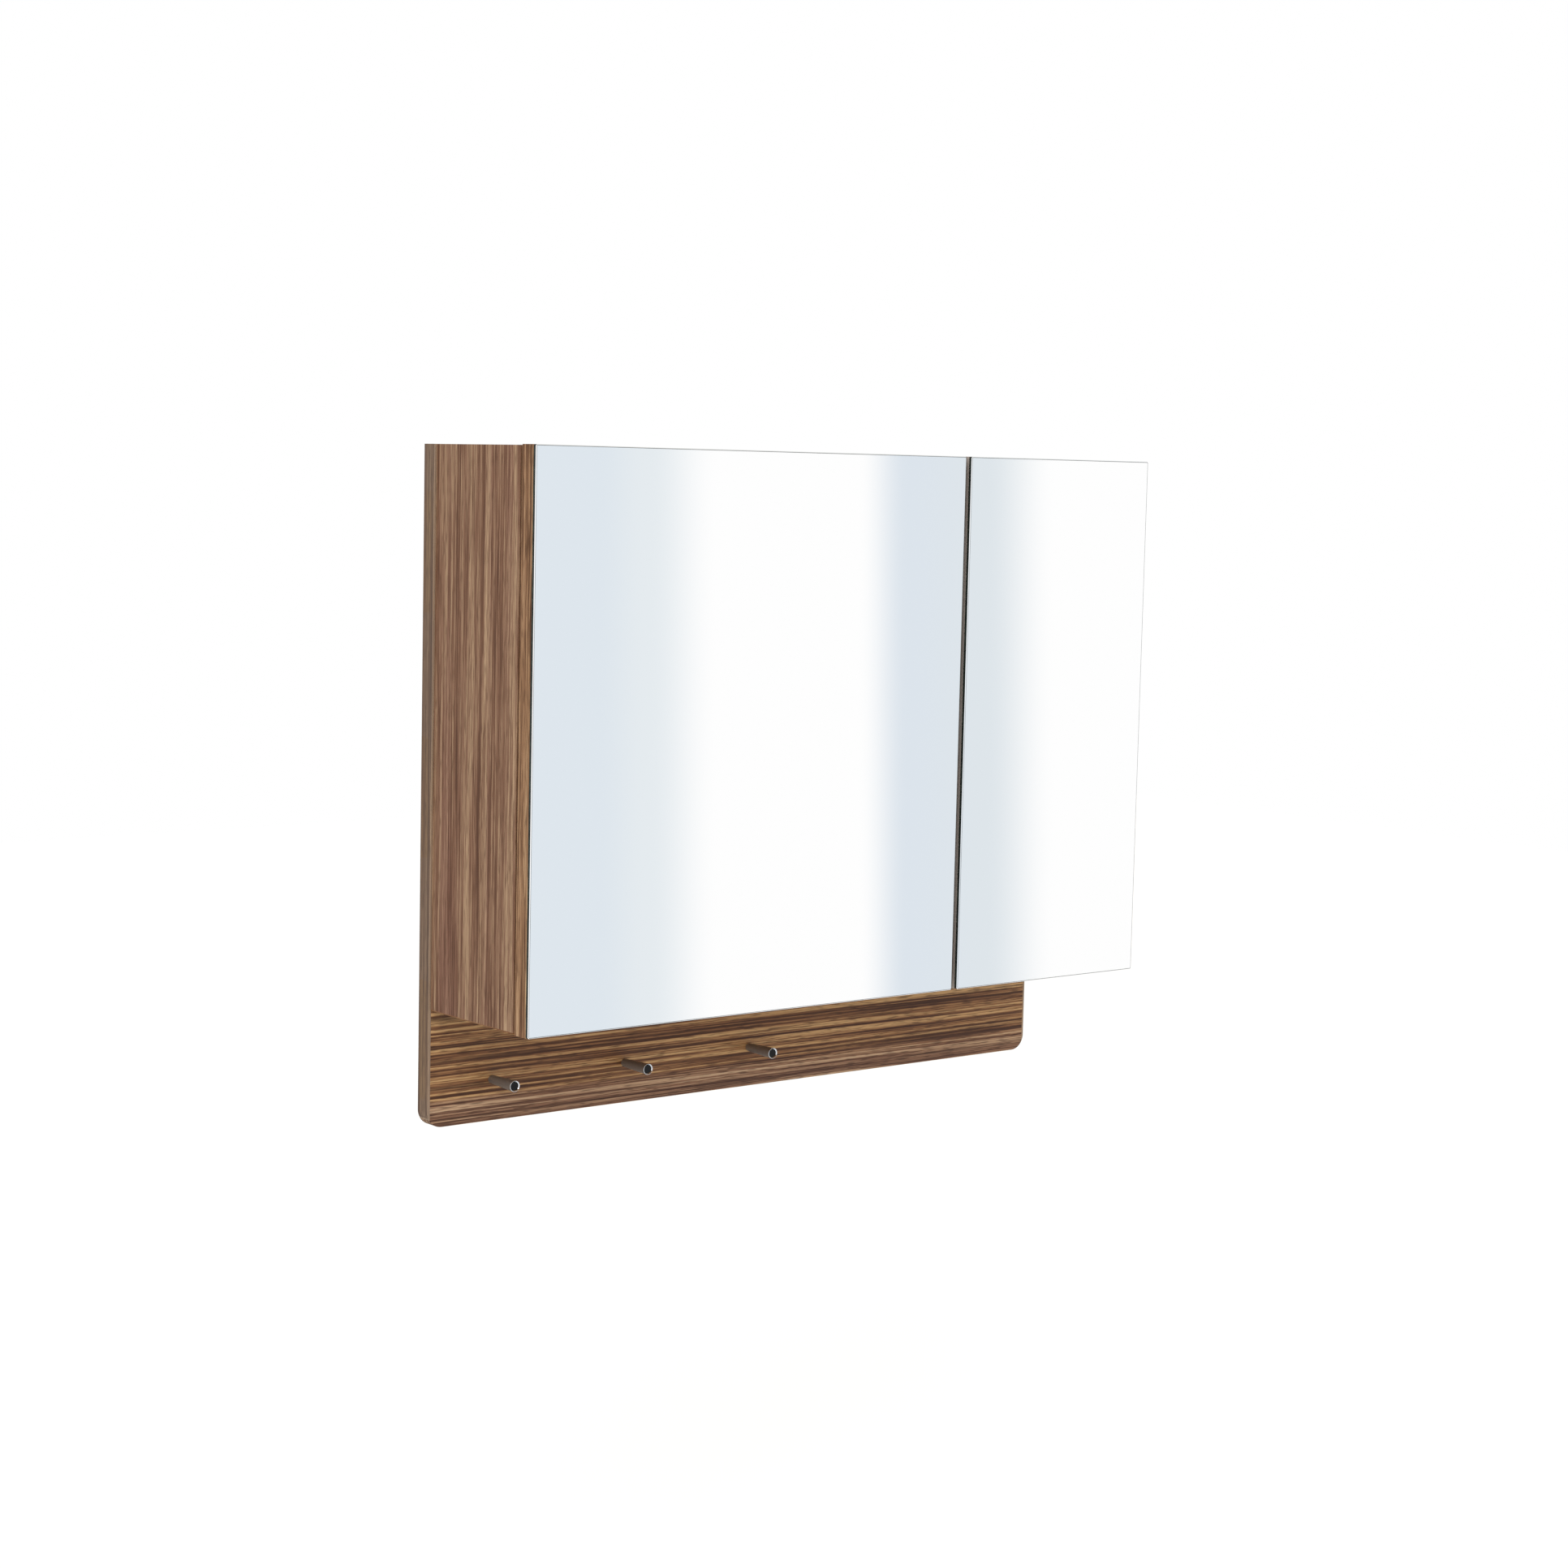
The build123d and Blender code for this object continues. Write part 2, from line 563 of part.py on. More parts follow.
# Hinges: plate and goose-neck arm on the side board, cup and pin in the door
def make_hinge(hand, name, z):
    """Build the four pieces of one hinge at height z, hand 1 on the left side and -1 on the right."""
    def place(inward, forward, dz=0.0):
        return hinge_point(hand, inward, forward, z + dz)

    outward = hinge_outward(hand)
    pin_forward = door_rest_gap + hinge_pin_depth
    neck_forward = pin_forward + eye_r - arm_thick / 2
    neck_inward = arm_seat + arm_thick / 2
    body_end = -arm_body_start - arm_body_length
    screw_mid = -arm_body_start - arm_body_length / 2
    arm_screw_spots = [screw_mid - arm_screw_pitch / 2, screw_mid + arm_screw_pitch / 2]
    half_neck = hinge_eye_width / 2
    half_body = arm_body_width / 2

    with BuildPart() as plate:
        half_length = plate_length / 2
        block(
            place(board_thick, -plate_setback - half_length, -plate_width / 2),
            place(arm_seat, -plate_setback + half_length, plate_width / 2),
        )
        block(
            place(board_thick, -plate_setback - plate_wing_width / 2, -plate_wing_length / 2),
            place(arm_seat, -plate_setback + plate_wing_width / 2, plate_wing_length / 2),
        )
        spots = [place(arm_seat, -plate_setback, s * plate_screw_pitch / 2) for s in (-1, 1)]
        rods(spots, outward, plate_screw_r + fit_gap, plate_thick, Mode.SUBTRACT)
        spots = [place(arm_seat, spot) for spot in arm_screw_spots]
        rods(spots, outward, arm_screw_r + fit_gap, plate_thick, Mode.SUBTRACT)
    save(plate, f"{name}_hinge_plate")

    with BuildPart() as arm:
        with BuildSketch(Plane.XY.offset(z - half_neck)):
            with BuildLine():
                corners = [(hinge_edge_to_pin, neck_forward), (neck_inward, neck_forward), (neck_inward, body_end)]
                FilletPolyline(*(place(*corner)[:2] for corner in corners), radius=arm_bend_r)
            trace(line_width=arm_thick)
            with Locations(place(hinge_edge_to_pin, pin_forward)[:2]):
                Circle(eye_r)
        extrude(amount=hinge_eye_width)
        block(place(arm_seat, body_end, -half_body), place(arm_seat + arm_thick, -arm_body_start, half_body))
        for s in (-1, 1):
            block(
                place(arm_seat, body_end, s * half_body),
                place(arm_seat + arm_wall_height, -arm_body_start, s * (half_body - arm_wall)),
            )
        eye_start = place(hinge_edge_to_pin, pin_forward, -half_neck)
        rods([eye_start], UP, hinge_pin_r + running_gap, hinge_eye_width, Mode.SUBTRACT)
        spots = [place(arm_seat + arm_thick, spot) for spot in arm_screw_spots]
        rods(spots, outward, arm_screw_r + fit_gap, arm_thick, Mode.SUBTRACT)
    save(arm, f"{name}_hinge_arm")

    lug_inner = half_neck + lug_side_gap
    lug_outer = lug_inner + 2 * hinge_pin_r
    with BuildPart() as cup:
        rods([place(cup_centre, door_rest_gap)], TO_FRONT, cup_r, cup_depth)
        rods([place(cup_centre, door_rest_gap)], TO_WALL, cup_r + cup_flange_lip, cup_flange_thick)
        wing = cup_centre + cup_screw_offset
        block(
            place(wing - cup_wing_width / 2, door_rest_gap - cup_flange_thick, -cup_wing_length / 2),
            place(wing + cup_wing_width / 2, door_rest_gap, cup_wing_length / 2),
        )
        mouth = place(cup_centre, door_rest_gap - cup_flange_thick)
        rods([mouth], TO_FRONT, cup_r - cup_wall, cup_flange_thick + cup_floor, Mode.SUBTRACT)
        for s in (-1, 1):
            block(
                place(hinge_edge_to_pin - hinge_pin_r, pin_forward - 2 * hinge_pin_r, s * lug_inner),
                place(hinge_edge_to_pin + 2 * hinge_pin_r, door_rest_gap + cup_depth, s * lug_outer),
            )
        pin_start = place(hinge_edge_to_pin, pin_forward, -lug_outer)
        rods([pin_start], UP, hinge_pin_r + pin_press_gap, 2 * lug_outer, Mode.SUBTRACT)
        spots = [place(wing, door_rest_gap - cup_flange_thick, s * cup_screw_pitch / 2) for s in (-1, 1)]
        rods(spots, TO_FRONT, cup_screw_r + fit_gap, cup_flange_thick, Mode.SUBTRACT)
    save(cup, f"{name}_hinge_cup")

    with BuildPart() as pin:
        rods([pin_start], UP, hinge_pin_r, 2 * lug_outer)
    save(pin, f"{name}_hinge_pin")
    return [place(arm_seat + arm_thick, spot) for spot in arm_screw_spots]


arm_screw_places = []
for door, hand in (("left", 1), ("right", -1)):
    for tier, z in hinge_heights.items():
        arm_screw_places += [(spot, hand) for spot in make_hinge(hand, f"{door}_{tier}", z)]

with BuildPart() as hinge_plate_screws:
    for hand in (1, -1):
        seats = [
            hinge_point(hand, arm_seat, -plate_setback, z + s * plate_screw_pitch / 2)
            for z in hinge_heights.values()
            for s in (-1, 1)
        ]
        reach = plate_thick + plate_screw_bite
        headed_screws(seats, hinge_outward(hand), plate_screw_head_r, plate_screw_head_h, plate_screw_r, reach)
save(hinge_plate_screws, "hinge_plate_screws")

with BuildPart() as hinge_arm_screws:
    for spot, hand in arm_screw_places:
        reach = arm_thick + plate_thick - fit_gap
        headed_screws([spot], hinge_outward(hand), arm_screw_head_r, arm_screw_head_h, arm_screw_r, reach)
save(hinge_arm_screws, "hinge_arm_screws")

# Magnet catches that hold the doors shut
magnet_end = door_back + strike_thick
for door, x in catch_places.items():
    half_w = magnet_width / 2
    half_h = magnet_height / 2

    with BuildPart() as catch_housing:
        block((x - catch_width / 2, catch_face, catch_low), (x + catch_width / 2, catch_face + catch_depth, inner_top))
        block(
            (x - half_w - fit_gap, catch_face, catch_mid - half_h - fit_gap),
            (x + half_w + fit_gap, catch_face + magnet_depth + fit_gap, catch_mid + half_h + fit_gap),
            Mode.SUBTRACT,
        )
        screw_spots = [(x + s * catch_screw_pitch / 2, catch_screw_y, catch_low) for s in (-1, 1)]
        rods(screw_spots, UP, catch_screw_r + fit_gap, catch_height, Mode.SUBTRACT)
    save(catch_housing, f"{door}_catch_housing")

    with BuildPart() as catch_magnet:
        block(
            (x - half_w, magnet_end, catch_mid - half_h),
            (x + half_w, catch_face + magnet_depth, catch_mid + half_h),
        )
    save(catch_magnet, f"{door}_catch_magnet")

    with BuildPart() as strike_plate:
        block(
            (x - strike_width / 2, door_back, catch_mid - strike_height / 2),
            (x + strike_width / 2, magnet_end, catch_mid + strike_height / 2),
        )
        rods([(x, door_back, catch_mid)], TO_FRONT, strike_spigot_r, strike_spigot_bite)
    save(strike_plate, f"{door}_strike_plate")

with BuildPart() as catch_screws:
    reach = catch_height + catch_screw_bite
    headed_screws(catch_screw_places, UP, catch_screw_head_r, catch_screw_head_h, catch_screw_r, reach)
save(catch_screws, "catch_screws")

# Doors: board with cup pockets, mirror bonded to its front, bumpers on its back
right_door_width = 2 * box_half - left_door_width - meeting_gap
doors = {
    "left": (1, -box_half, -box_half + left_door_width),
    "right": (-1, box_half - right_door_width, box_half),
}

for door, (hand, low_x, high_x) in doors.items():
    mid_x = (low_x + high_x) / 2
    mid_z = (door_top + door_bottom) / 2
    wing = cup_centre + cup_screw_offset
    cup_screw_seats = [
        hinge_point(hand, wing, door_rest_gap - cup_flange_thick, z + s * cup_screw_pitch / 2)
        for z in hinge_heights.values()
        for s in (-1, 1)
    ]

    with BuildPart() as door_board:
        block((low_x, door_back, door_bottom), (high_x, door_front, door_top))
        fillet((door_board.faces() >> Axis.Y).edges(), board_arris)
        pockets = [hinge_point(hand, cup_centre, door_rest_gap, z) for z in hinge_heights.values()]
        rods(pockets, TO_FRONT, cup_r + fit_gap, cup_depth + fit_gap, Mode.SUBTRACT)
        pilots = [(x, door_back, z) for x, _, z in cup_screw_seats]
        rods(pilots, TO_FRONT, cup_screw_r + fit_gap, cup_screw_bite + fit_gap, Mode.SUBTRACT)
        spigot = (catch_places[door], door_back, catch_mid)
        rods([spigot], TO_FRONT, strike_spigot_r + fit_gap, strike_spigot_bite + fit_gap, Mode.SUBTRACT)
    save(door_board, f"{door}_door_board")

    with BuildPart() as mirror:
        with BuildSketch(Plane.XZ.offset(-door_front)) as glass_outline:
            with Locations((mid_x, mid_z)):
                Rectangle(high_x - low_x, door_top - door_bottom)
            chamfer(glass_outline.vertices(), mirror_corner_clip)
        extrude(amount=mirror_thick)
        chamfer(mirror.faces().sort_by(Axis.Y)[0].edges(), mirror_arris)
    save(mirror, f"{door}_mirror")

    with BuildPart() as cup_screws:
        reach = cup_flange_thick + cup_screw_bite
        headed_screws(cup_screw_seats, TO_FRONT, cup_screw_head_r, cup_screw_head_h, cup_screw_r, reach)
    save(cup_screws, f"{door}_cup_screws")

    with BuildPart() as bumpers:
        free_x = (high_x if hand == 1 else low_x) - hand * bumper_inset
        rods([(free_x, door_back, z) for z in level_mid.values()], TO_WALL, bumper_r, door_rest_gap)
    save(bumpers, f"{door}_door_bumpers")
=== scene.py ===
"""Dress the hanging mirror cabinet: veneered boards, silvered doors, chrome pegs and the fittings inside.

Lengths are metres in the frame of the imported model: X to the right, +Y into the wall, Z up.
"""
import logging
import math
from dataclasses import dataclass
from enum import Enum
from typing import Any

import bmesh
import bpy
from bpy.types import ID, Material, Mesh, Node, NodeSocket, NodeTree, Object, World
from mathutils import Matrix, Vector


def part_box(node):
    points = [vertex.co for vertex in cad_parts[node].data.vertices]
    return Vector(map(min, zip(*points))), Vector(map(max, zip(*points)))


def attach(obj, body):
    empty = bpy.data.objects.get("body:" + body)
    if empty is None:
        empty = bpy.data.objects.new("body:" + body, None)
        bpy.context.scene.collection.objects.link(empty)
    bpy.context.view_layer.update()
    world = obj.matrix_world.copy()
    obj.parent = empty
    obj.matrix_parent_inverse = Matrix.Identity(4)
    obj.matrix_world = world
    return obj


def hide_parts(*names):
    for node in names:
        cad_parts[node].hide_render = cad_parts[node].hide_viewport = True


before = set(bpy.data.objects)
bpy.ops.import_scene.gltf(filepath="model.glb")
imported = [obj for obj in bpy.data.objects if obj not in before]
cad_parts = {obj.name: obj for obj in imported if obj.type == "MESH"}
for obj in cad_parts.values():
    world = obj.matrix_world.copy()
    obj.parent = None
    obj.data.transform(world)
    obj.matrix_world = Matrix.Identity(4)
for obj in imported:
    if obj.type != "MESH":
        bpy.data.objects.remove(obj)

log = logging.getLogger("cabinet")
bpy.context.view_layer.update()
MM = 0.001
WHITE = "FFFFFF"
GLASS_IOR = 1.52
# Settings and pairs of inputs that many nodes share
SMOOTH = {"interpolation_type": "SMOOTHSTEP"}
RGBA = {"data_type": "RGBA"}
FROM = ("From Min", "From Max")
TO = ("To Min", "To Max")
# Noise has nearly all of its values in here
NOISE_SPAN = (0.3, 0.7)
# Where the seven colours of a figure lie on its tone, in units of the figure's spread
RIBBON_STEPS = (-2.05, -1.28, -0.67, 0.0, 0.67, 1.28, 2.05)

Colour = tuple[float, float, float, float]
Range = tuple[float, float]
Triple = tuple[float, float, float]
Source = Node | NodeSocket
Inputs = dict[str | int | tuple[str, ...], Any]


def linear(code: str) -> Colour:
    """Turn an sRGB hex colour into linear light.

    Args:
        code: six hex digits.

    Returns:
        Red, green, blue and an alpha of 1.
    """
    parts = [int(code[i:i + 2], 16) / 255 for i in (0, 2, 4)]
    light = [p / 12.92 if p <= 0.04045 else ((p + 0.055) / 1.055) ** 2.4 for p in parts]
    return (light[0], light[1], light[2], 1.0)


def feed(tree: NodeTree, node: Node, inputs: Inputs) -> None:
    """Fill a node's inputs.

    Args:
        tree: the tree that the node stands in.
        node: the node.
        inputs: values by input name or number, or several values by as many names; an output socket or a
            node's first output in use is linked, and anything else is set.
    """
    for key, value in inputs.items():
        if isinstance(key, tuple):
            feed(tree, node, dict(zip(key, value)))
            continue
        if isinstance(value, Node):
            value = next(output for output in value.outputs if output.enabled)
        if isinstance(value, NodeSocket):
            tree.links.new(value, node.inputs[key])
        else:
            node.inputs[key].default_value = value


def add_node(tree: NodeTree, kind: str, inputs: Inputs | None = None, **settings: Any) -> Node:
    """Add one node with its settings, its input values and its links.

    Args:
        tree: node tree of a material, a world or a geometry.
        kind: Blender's type name of the node, for a shader node without ShaderNode before it.
        inputs: what fills the node's inputs.
        settings: values of the node's own properties.

    Returns:
        The new node.
    """
    node = tree.nodes.new(kind if "Node" in kind else f"ShaderNode{kind}")
    for key, value in settings.items():
        setattr(node, key, value)
    feed(tree, node, inputs or {})
    return node


def set_stops(ramp: Node, stops: list[tuple[float, str]]) -> None:
    """Give a colour ramp its stops.

    Args:
        ramp: a colour ramp node.
        stops: places from 0 to 1 with their hex colours, in rising order.
    """
    elements = ramp.color_ramp.elements
    while len(elements) < len(stops):
        elements.new(1.0)
    for element, (place, code) in zip(elements, stops):
        element.position = place
        element.color = linear(code)


def new_material(name: str) -> tuple[Material, NodeTree, Node]:
    """Start a material with one principled shader.

    Args:
        name: what the finish is called.

    Returns:
        The material, its node tree and the shader node.
    """
    material = bpy.data.materials.new(name)
    material.use_nodes = True
    tree = material.node_tree
    return material, tree, tree.nodes["Principled BSDF"]


def bare_tree(holder: Material | World) -> NodeTree:
    """Give a material or a world an empty node tree.

    Args:
        holder: the material or world.

    Returns:
        Its node tree, with no nodes in it.
    """
    holder.use_nodes = True
    holder.node_tree.nodes.clear()
    return holder.node_tree


def mottle(tree: NodeTree, size_mm: float, deep: str, pale: str, ends: Range = (0.35, 0.65),
           detail: float = 3.0) -> tuple[Node, Node]:
    """Draw a mottle of a real size.

    Args:
        tree: the material's node tree.
        size_mm: size of the mottle's spots.
        deep: hex colour of the lowest spots.
        pale: hex colour of the highest spots.
        ends: values of the mottle that have those colours.
        detail: how much finer structure the spots hold.

    Returns:
        The mottle's value, for the gloss and the relief that go with it, and its colour.
    """
    spot = add_node(tree, "TexCoord").outputs
    cloud = add_node(tree, "TexNoise",
                     {"Vector": spot["Object"], "Scale": 1 / (size_mm * MM), "Detail": detail})
    ramp = add_node(tree, "ValToRGB", {0: cloud})
    set_stops(ramp, list(zip(ends, (deep, pale))))
    return cloud, ramp


def paint(piece: Object, *materials: Material) -> None:
    """Put materials into an object's slots in place of what it had.

    Args:
        piece: a CAD node or a piece of its own.
        materials: the new materials, in the order of the slots.
    """
    if piece.data.materials:
        piece.data.materials.clear()
    for material in materials:
        piece.data.materials.append(material)


def linked(name: str, data: ID) -> Object:
    """Put an object into the scene.

    Args:
        name: name of the object.
        data: its mesh, camera or lamp.

    Returns:
        The new object.
    """
    thing = bpy.data.objects.new(name, data)
    bpy.context.scene.collection.objects.link(thing)
    return thing


def new_piece(name: str, mesh: Mesh, body: str, slot: str, *nodes: str) -> Object:
    """Link a finished mesh as a piece of the cabinet.

    Args:
        name: name of the piece.
        mesh: its mesh, already in place.
        body: CAD body that it moves with.
        slot: material slot of the record; not used.
        nodes: CAD nodes that it stands for.

    Returns:
        The new object.
    """
    piece = linked(name, mesh)
    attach(piece, body)
    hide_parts(*nodes)
    log.info("%s: %d faces on %s", name, len(mesh.polygons), body)
    return piece


def lofted(name: str, rings: list[list[Triple]], walls: list[int], caps: tuple[int, int]) -> Mesh:
    """Close a mesh over rings that have the same number of points.

    Args:
        name: name of the mesh.
        rings: the rings' points, in order.
        walls: material slot of the wall after each ring.
        caps: material slots of the first and the last ring's cap.

    Returns:
        A closed mesh whose faces point outwards.
    """
    mesh = bpy.data.meshes.new(name)
    shape = bmesh.new()
    loops = [[shape.verts.new(point) for point in ring] for ring in rings]
    for one, two, slot in zip(loops, loops[1:], walls):
        for i in range(len(one)):
            j = (i + 1) % len(one)
            shape.faces.new((one[i], one[j], two[j], two[i])).material_index = slot
    for loop, slot in zip((loops[0], loops[-1]), caps):
        shape.faces.new(loop).material_index = slot
    bmesh.ops.recalc_face_normals(shape, faces=shape.faces)
    shape.to_mesh(mesh)
    shape.free()
    return mesh


def sheet(name: str, half_x: float, half_y: float, z: float, material: Material) -> Object:
    """Lay out a flat rectangle round the origin.

    Args:
        name: name of the rectangle.
        half_x: half its size in X.
        half_y: half its size in Y.
        z: its height.
        material: what it is painted with.

    Returns:
        The linked object.
    """
    mesh = bpy.data.meshes.new(name)
    corners = ((-half_x, -half_y), (half_x, -half_y), (half_x, half_y), (-half_x, half_y))
    mesh.from_pydata([(x, y, z) for x, y in corners], [], [(0, 1, 2, 3)])
    flat = linked(name, mesh)
    paint(flat, material)
    return flat


class Axis(Enum):
    """Axis of the cabinet that grain runs along or a screw is driven along."""

    ACROSS = 0
    DEEP = 1
    UPRIGHT = 2


@dataclass(frozen=True)
class Figure:
    """Colours of one cut of the veneer.

    The ribbons go from the darkest to the lightest. The mauve and the gold are casts that multiply them.
    The thin growth lines and the pores have the line's colour.
    """

    ribbons: tuple[str, ...]
    mauve: str
    mauve_share: float
    line: str
    line_share: float
    gold: str = WHITE
    spread: float = 0.054


@dataclass(frozen=True)
class StripedVeneer:
    """Sliced striped veneer under satin lacquer.

    The eye sees long ribbons of tan, brown and mauve, thin dark lines that close into long lenses, and
    short dark pores. An edge that cuts the grain carries a band, which shows as a narrow lip on the face;
    on the back panel the lip is paler, partly a painted highlight along the rounded arris.
    """

    name: str
    grain: Axis
    band_grain: Axis
    figure: Figure
    band_tint: str
    band_share: float
    # Tint of the band's lip on the face, paler on the back panel, where it is partly a painted highlight
    lip_and_arris_highlight_tint: str = ""
    lip_from_mm: float = 1000.0
    edge_from: float = 0.9
    free_side: int = 0
    free_tint: str = "B6AFA9"
    free_share: float = 0.85
    free_from: Range = (0.55, 0.65)
    band_mm: float = 14.0
    stripe_mm: float = 3.4
    fine_mm: float = 1.4
    weights: Triple = (0.28, 0.42, 0.30)
    line_mm: float = 5.2
    line_width: float = 0.035
    pore_mm: float = 1.3
    pore_share: float = 0.6
    pore_from: Range = (0.48, 0.70)
    pore_depth_mm: float = 0.05
    mauve_mm: float = 24.0
    mauve_from: Range = (0.48, 0.66)
    leaf_across: Axis | None = None
    leaf_joint_mm: float = 0.0
    leaf_mm: float = 120.0
    leaf_blur: Range = (-0.08, 0.08)
    leaf_push: Range = (-0.06, 0.14)
    waver_mm: float = 1.6
    waver_length_mm: float = 150.0
    ribbon_stretch: float = 0.016
    pore_stretch: float = 0.07
    specular: float = 0.22
    roughness: Range = (0.49, 0.37)
    bump: float = 0.2
    shift: Triple = (0.0, 0.0, 0.0)

    def wandered(self, tree: NodeTree, here: NodeSocket) -> Node:
        """Let the coordinates wander sideways by a millimetre or two over a hand's width.

        Args:
            tree: the material's node tree.
            here: the object coordinates.

        Returns:
            The coordinates that wander.
        """
        drift = add_node(tree, "TexNoise",
                         {"Vector": here, "Scale": 1 / (self.waver_length_mm * MM), "Detail": 2.0})
        centred = add_node(tree, "VectorMath", {0: drift.outputs["Color"], 1: (0.5, 0.5, 0.5)},
                           operation="SUBTRACT")
        reach = self.waver_mm * MM * 2
        return add_node(tree, "VectorMath", {0: centred, 1: [reach] * 3, 2: here}, operation="MULTIPLY_ADD")

    def run(self, tree: NodeTree, place: Source, on_band: Source, stretch: float) -> Node:
        """Squeeze coordinates along the grain, so that noise drawn on them becomes long ribbons.

        Args:
            tree: the material's node tree.
            place: coordinates that wander a little.
            on_band: 1 where an edge cuts the grain and carries a band of its own, else 0.
            stretch: scale along the grain.

        Returns:
            Coordinates along the ribbons of the face or of the band.
        """
        laid = []
        for grain in (self.grain, self.band_grain):
            scale = [1.0, 1.0, 1.0]
            scale[grain.value] = stretch
            laid.append(add_node(tree, "Mapping", {"Vector": place, "Location": self.shift, "Scale": scale}))
        return add_node(tree, "Mix", {"Factor": on_band, 4: laid[0], 5: laid[1]}, data_type="VECTOR")

    def layers(self, tree: NodeTree, ribbons: Source, dashes: Source) -> dict[str, Node]:
        """Draw the layers of the figure, each at its real width.

        Args:
            tree: the material's node tree.
            ribbons: coordinates along the ribbons.
            dashes: the same, squeezed less, for what is short.

        Returns:
            The layers by name, each about one half.
        """
        drawn = {}
        for name, run, width_mm, detail in (
                ("band", ribbons, self.band_mm, 1.0), ("stripe", ribbons, self.stripe_mm, 2.0),
                ("fine", ribbons, self.fine_mm, 2.0), ("mauve", ribbons, self.mauve_mm, 1.0),
                ("line", ribbons, self.line_mm, 0.0), ("pore", dashes, self.pore_mm, 1.0)):
            drawn[name] = add_node(tree, "TexNoise",
                                   {"Vector": run, "Scale": 1 / (width_mm * MM), "Detail": detail})
        return drawn

    def leaf_cast(self, tree: NodeTree, cast: Source, where: Node) -> Node:
        """Make every second leaf of veneer mauver, because the board is laid up from leaves side by side.

        Args:
            tree: the material's node tree.
            cast: the mauve cast of the ribbons, about one half.
            where: the three object coordinates.

        Returns:
            The cast, raised on one leaf and lowered on the next.
        """
        turn = math.pi / (self.leaf_mm * MM)
        across = where.outputs[self.leaf_across.value]
        phase = add_node(tree, "Math", {0: across, 1: -turn, 2: self.leaf_joint_mm * MM * turn},
                         operation="MULTIPLY_ADD")
        wave = add_node(tree, "Math", {0: phase}, operation="SINE")
        push = add_node(tree, "MapRange", {0: wave, FROM: self.leaf_blur, TO: self.leaf_push}, **SMOOTH)
        return add_node(tree, "Math", {0: cast, 1: push}, operation="ADD")

    def colour(self, tree: NodeTree, drawn: dict[str, Node], where: Node) -> Node:
        """Colour the ribbons.

        Args:
            tree: the material's node tree.
            drawn: the layers of the figure.
            where: the three object coordinates.

        Returns:
            The colour of the open veneer, without its edges.
        """
        figure = self.figure
        wide, middling, narrow = self.weights
        part = add_node(tree, "Math", {0: drawn["band"], 1: wide}, operation="MULTIPLY")
        more = add_node(tree, "Math", {0: drawn["stripe"], 1: middling, 2: part}, operation="MULTIPLY_ADD")
        tone = add_node(tree, "Math", {0: drawn["fine"], 1: narrow, 2: more}, operation="MULTIPLY_ADD")
        ramp = add_node(tree, "ValToRGB", {0: tone})
        set_stops(ramp, [(0.5 + figure.spread * step, code)
                         for step, code in zip(RIBBON_STEPS, figure.ribbons)])
        # Some ribbons have a mauve cast, whatever their depth
        cast = drawn["mauve"]
        if self.leaf_across is not None:
            cast = self.leaf_cast(tree, cast, where)
        share = add_node(tree, "MapRange",
                         {0: cast, FROM: self.mauve_from, TO: (0.0, figure.mauve_share)}, **SMOOTH)
        tint = add_node(tree, "Mix", {"Factor": share, 6: linear(figure.gold), 7: linear(figure.mauve)},
                        **RGBA)
        tinted = add_node(tree, "Mix", {"Factor": 1.0, 6: ramp, 7: tint}, blend_type="MULTIPLY", **RGBA)
        # Thin dark lines follow the growth rings and close into long lenses
        off = add_node(tree, "Math", {0: drawn["line"], 1: 0.5}, operation="SUBTRACT")
        gap = add_node(tree, "Math", {0: off}, operation="ABSOLUTE")
        thin = add_node(tree, "MapRange",
                        {0: gap, FROM: (0.0, self.line_width), TO: (figure.line_share, 0.0)}, **SMOOTH)
        lined = add_node(tree, "Mix", {"Factor": thin, 6: tinted, 7: linear(figure.line)}, **RGBA)
        # Open pores are short dark dashes, drawn some times as wide as they are so that they show
        deep = add_node(tree, "MapRange",
                        {0: drawn["pore"], FROM: self.pore_from, TO: (0.0, self.pore_share)}, **SMOOTH)
        return add_node(tree, "Mix", {"Factor": deep, 6: lined, 7: linear(figure.line)}, **RGBA)

    def make(self) -> Material:
        """Build the material.

        Returns:
            A veneer whose ribbons run along the grain, and along the band where an edge cuts the grain.
        """
        material, tree, shader = new_material(self.name)
        spot = add_node(tree, "TexCoord").outputs
        facing = add_node(tree, "SeparateXYZ", {0: spot["Normal"]})
        where = add_node(tree, "SeparateXYZ", {0: spot["Object"]})
        # An edge that cuts the grain carries a band, whose lip shows on the face and on the rounded arris;
        # where the lip tint is paler than the band, it is partly a painted highlight on the arris
        marks = []
        for source, start in ((facing, self.edge_from), (where, self.lip_from_mm * MM)):
            size = add_node(tree, "Math", {0: source.outputs[self.grain.value]}, operation="ABSOLUTE")
            marks.append(add_node(tree, "Math", {0: size, 1: start}, operation="GREATER_THAN"))
        on_edge, on_lip = marks
        on_band = add_node(tree, "Math", {0: on_edge, 1: on_lip}, operation="MAXIMUM")
        place = self.wandered(tree, spot["Object"])
        drawn = self.layers(tree, self.run(tree, place, on_band, self.ribbon_stretch),
                            self.run(tree, place, on_band, self.pore_stretch))
        # Where the lip tint is paler than the band, it is partly a painted highlight on the arris
        band, lip = linear(self.band_tint), linear(self.lip_and_arris_highlight_tint or self.band_tint)
        tint = add_node(tree, "Mix", {"Factor": on_edge, 6: lip, 7: band}, **RGBA)
        banded = add_node(tree, "Math", {0: on_band, 1: self.band_share}, operation="MULTIPLY")
        colour = add_node(tree, "Mix", {"Factor": banded, 6: self.colour(tree, drawn, where), 7: tint},
                          **RGBA)
        if self.free_side:
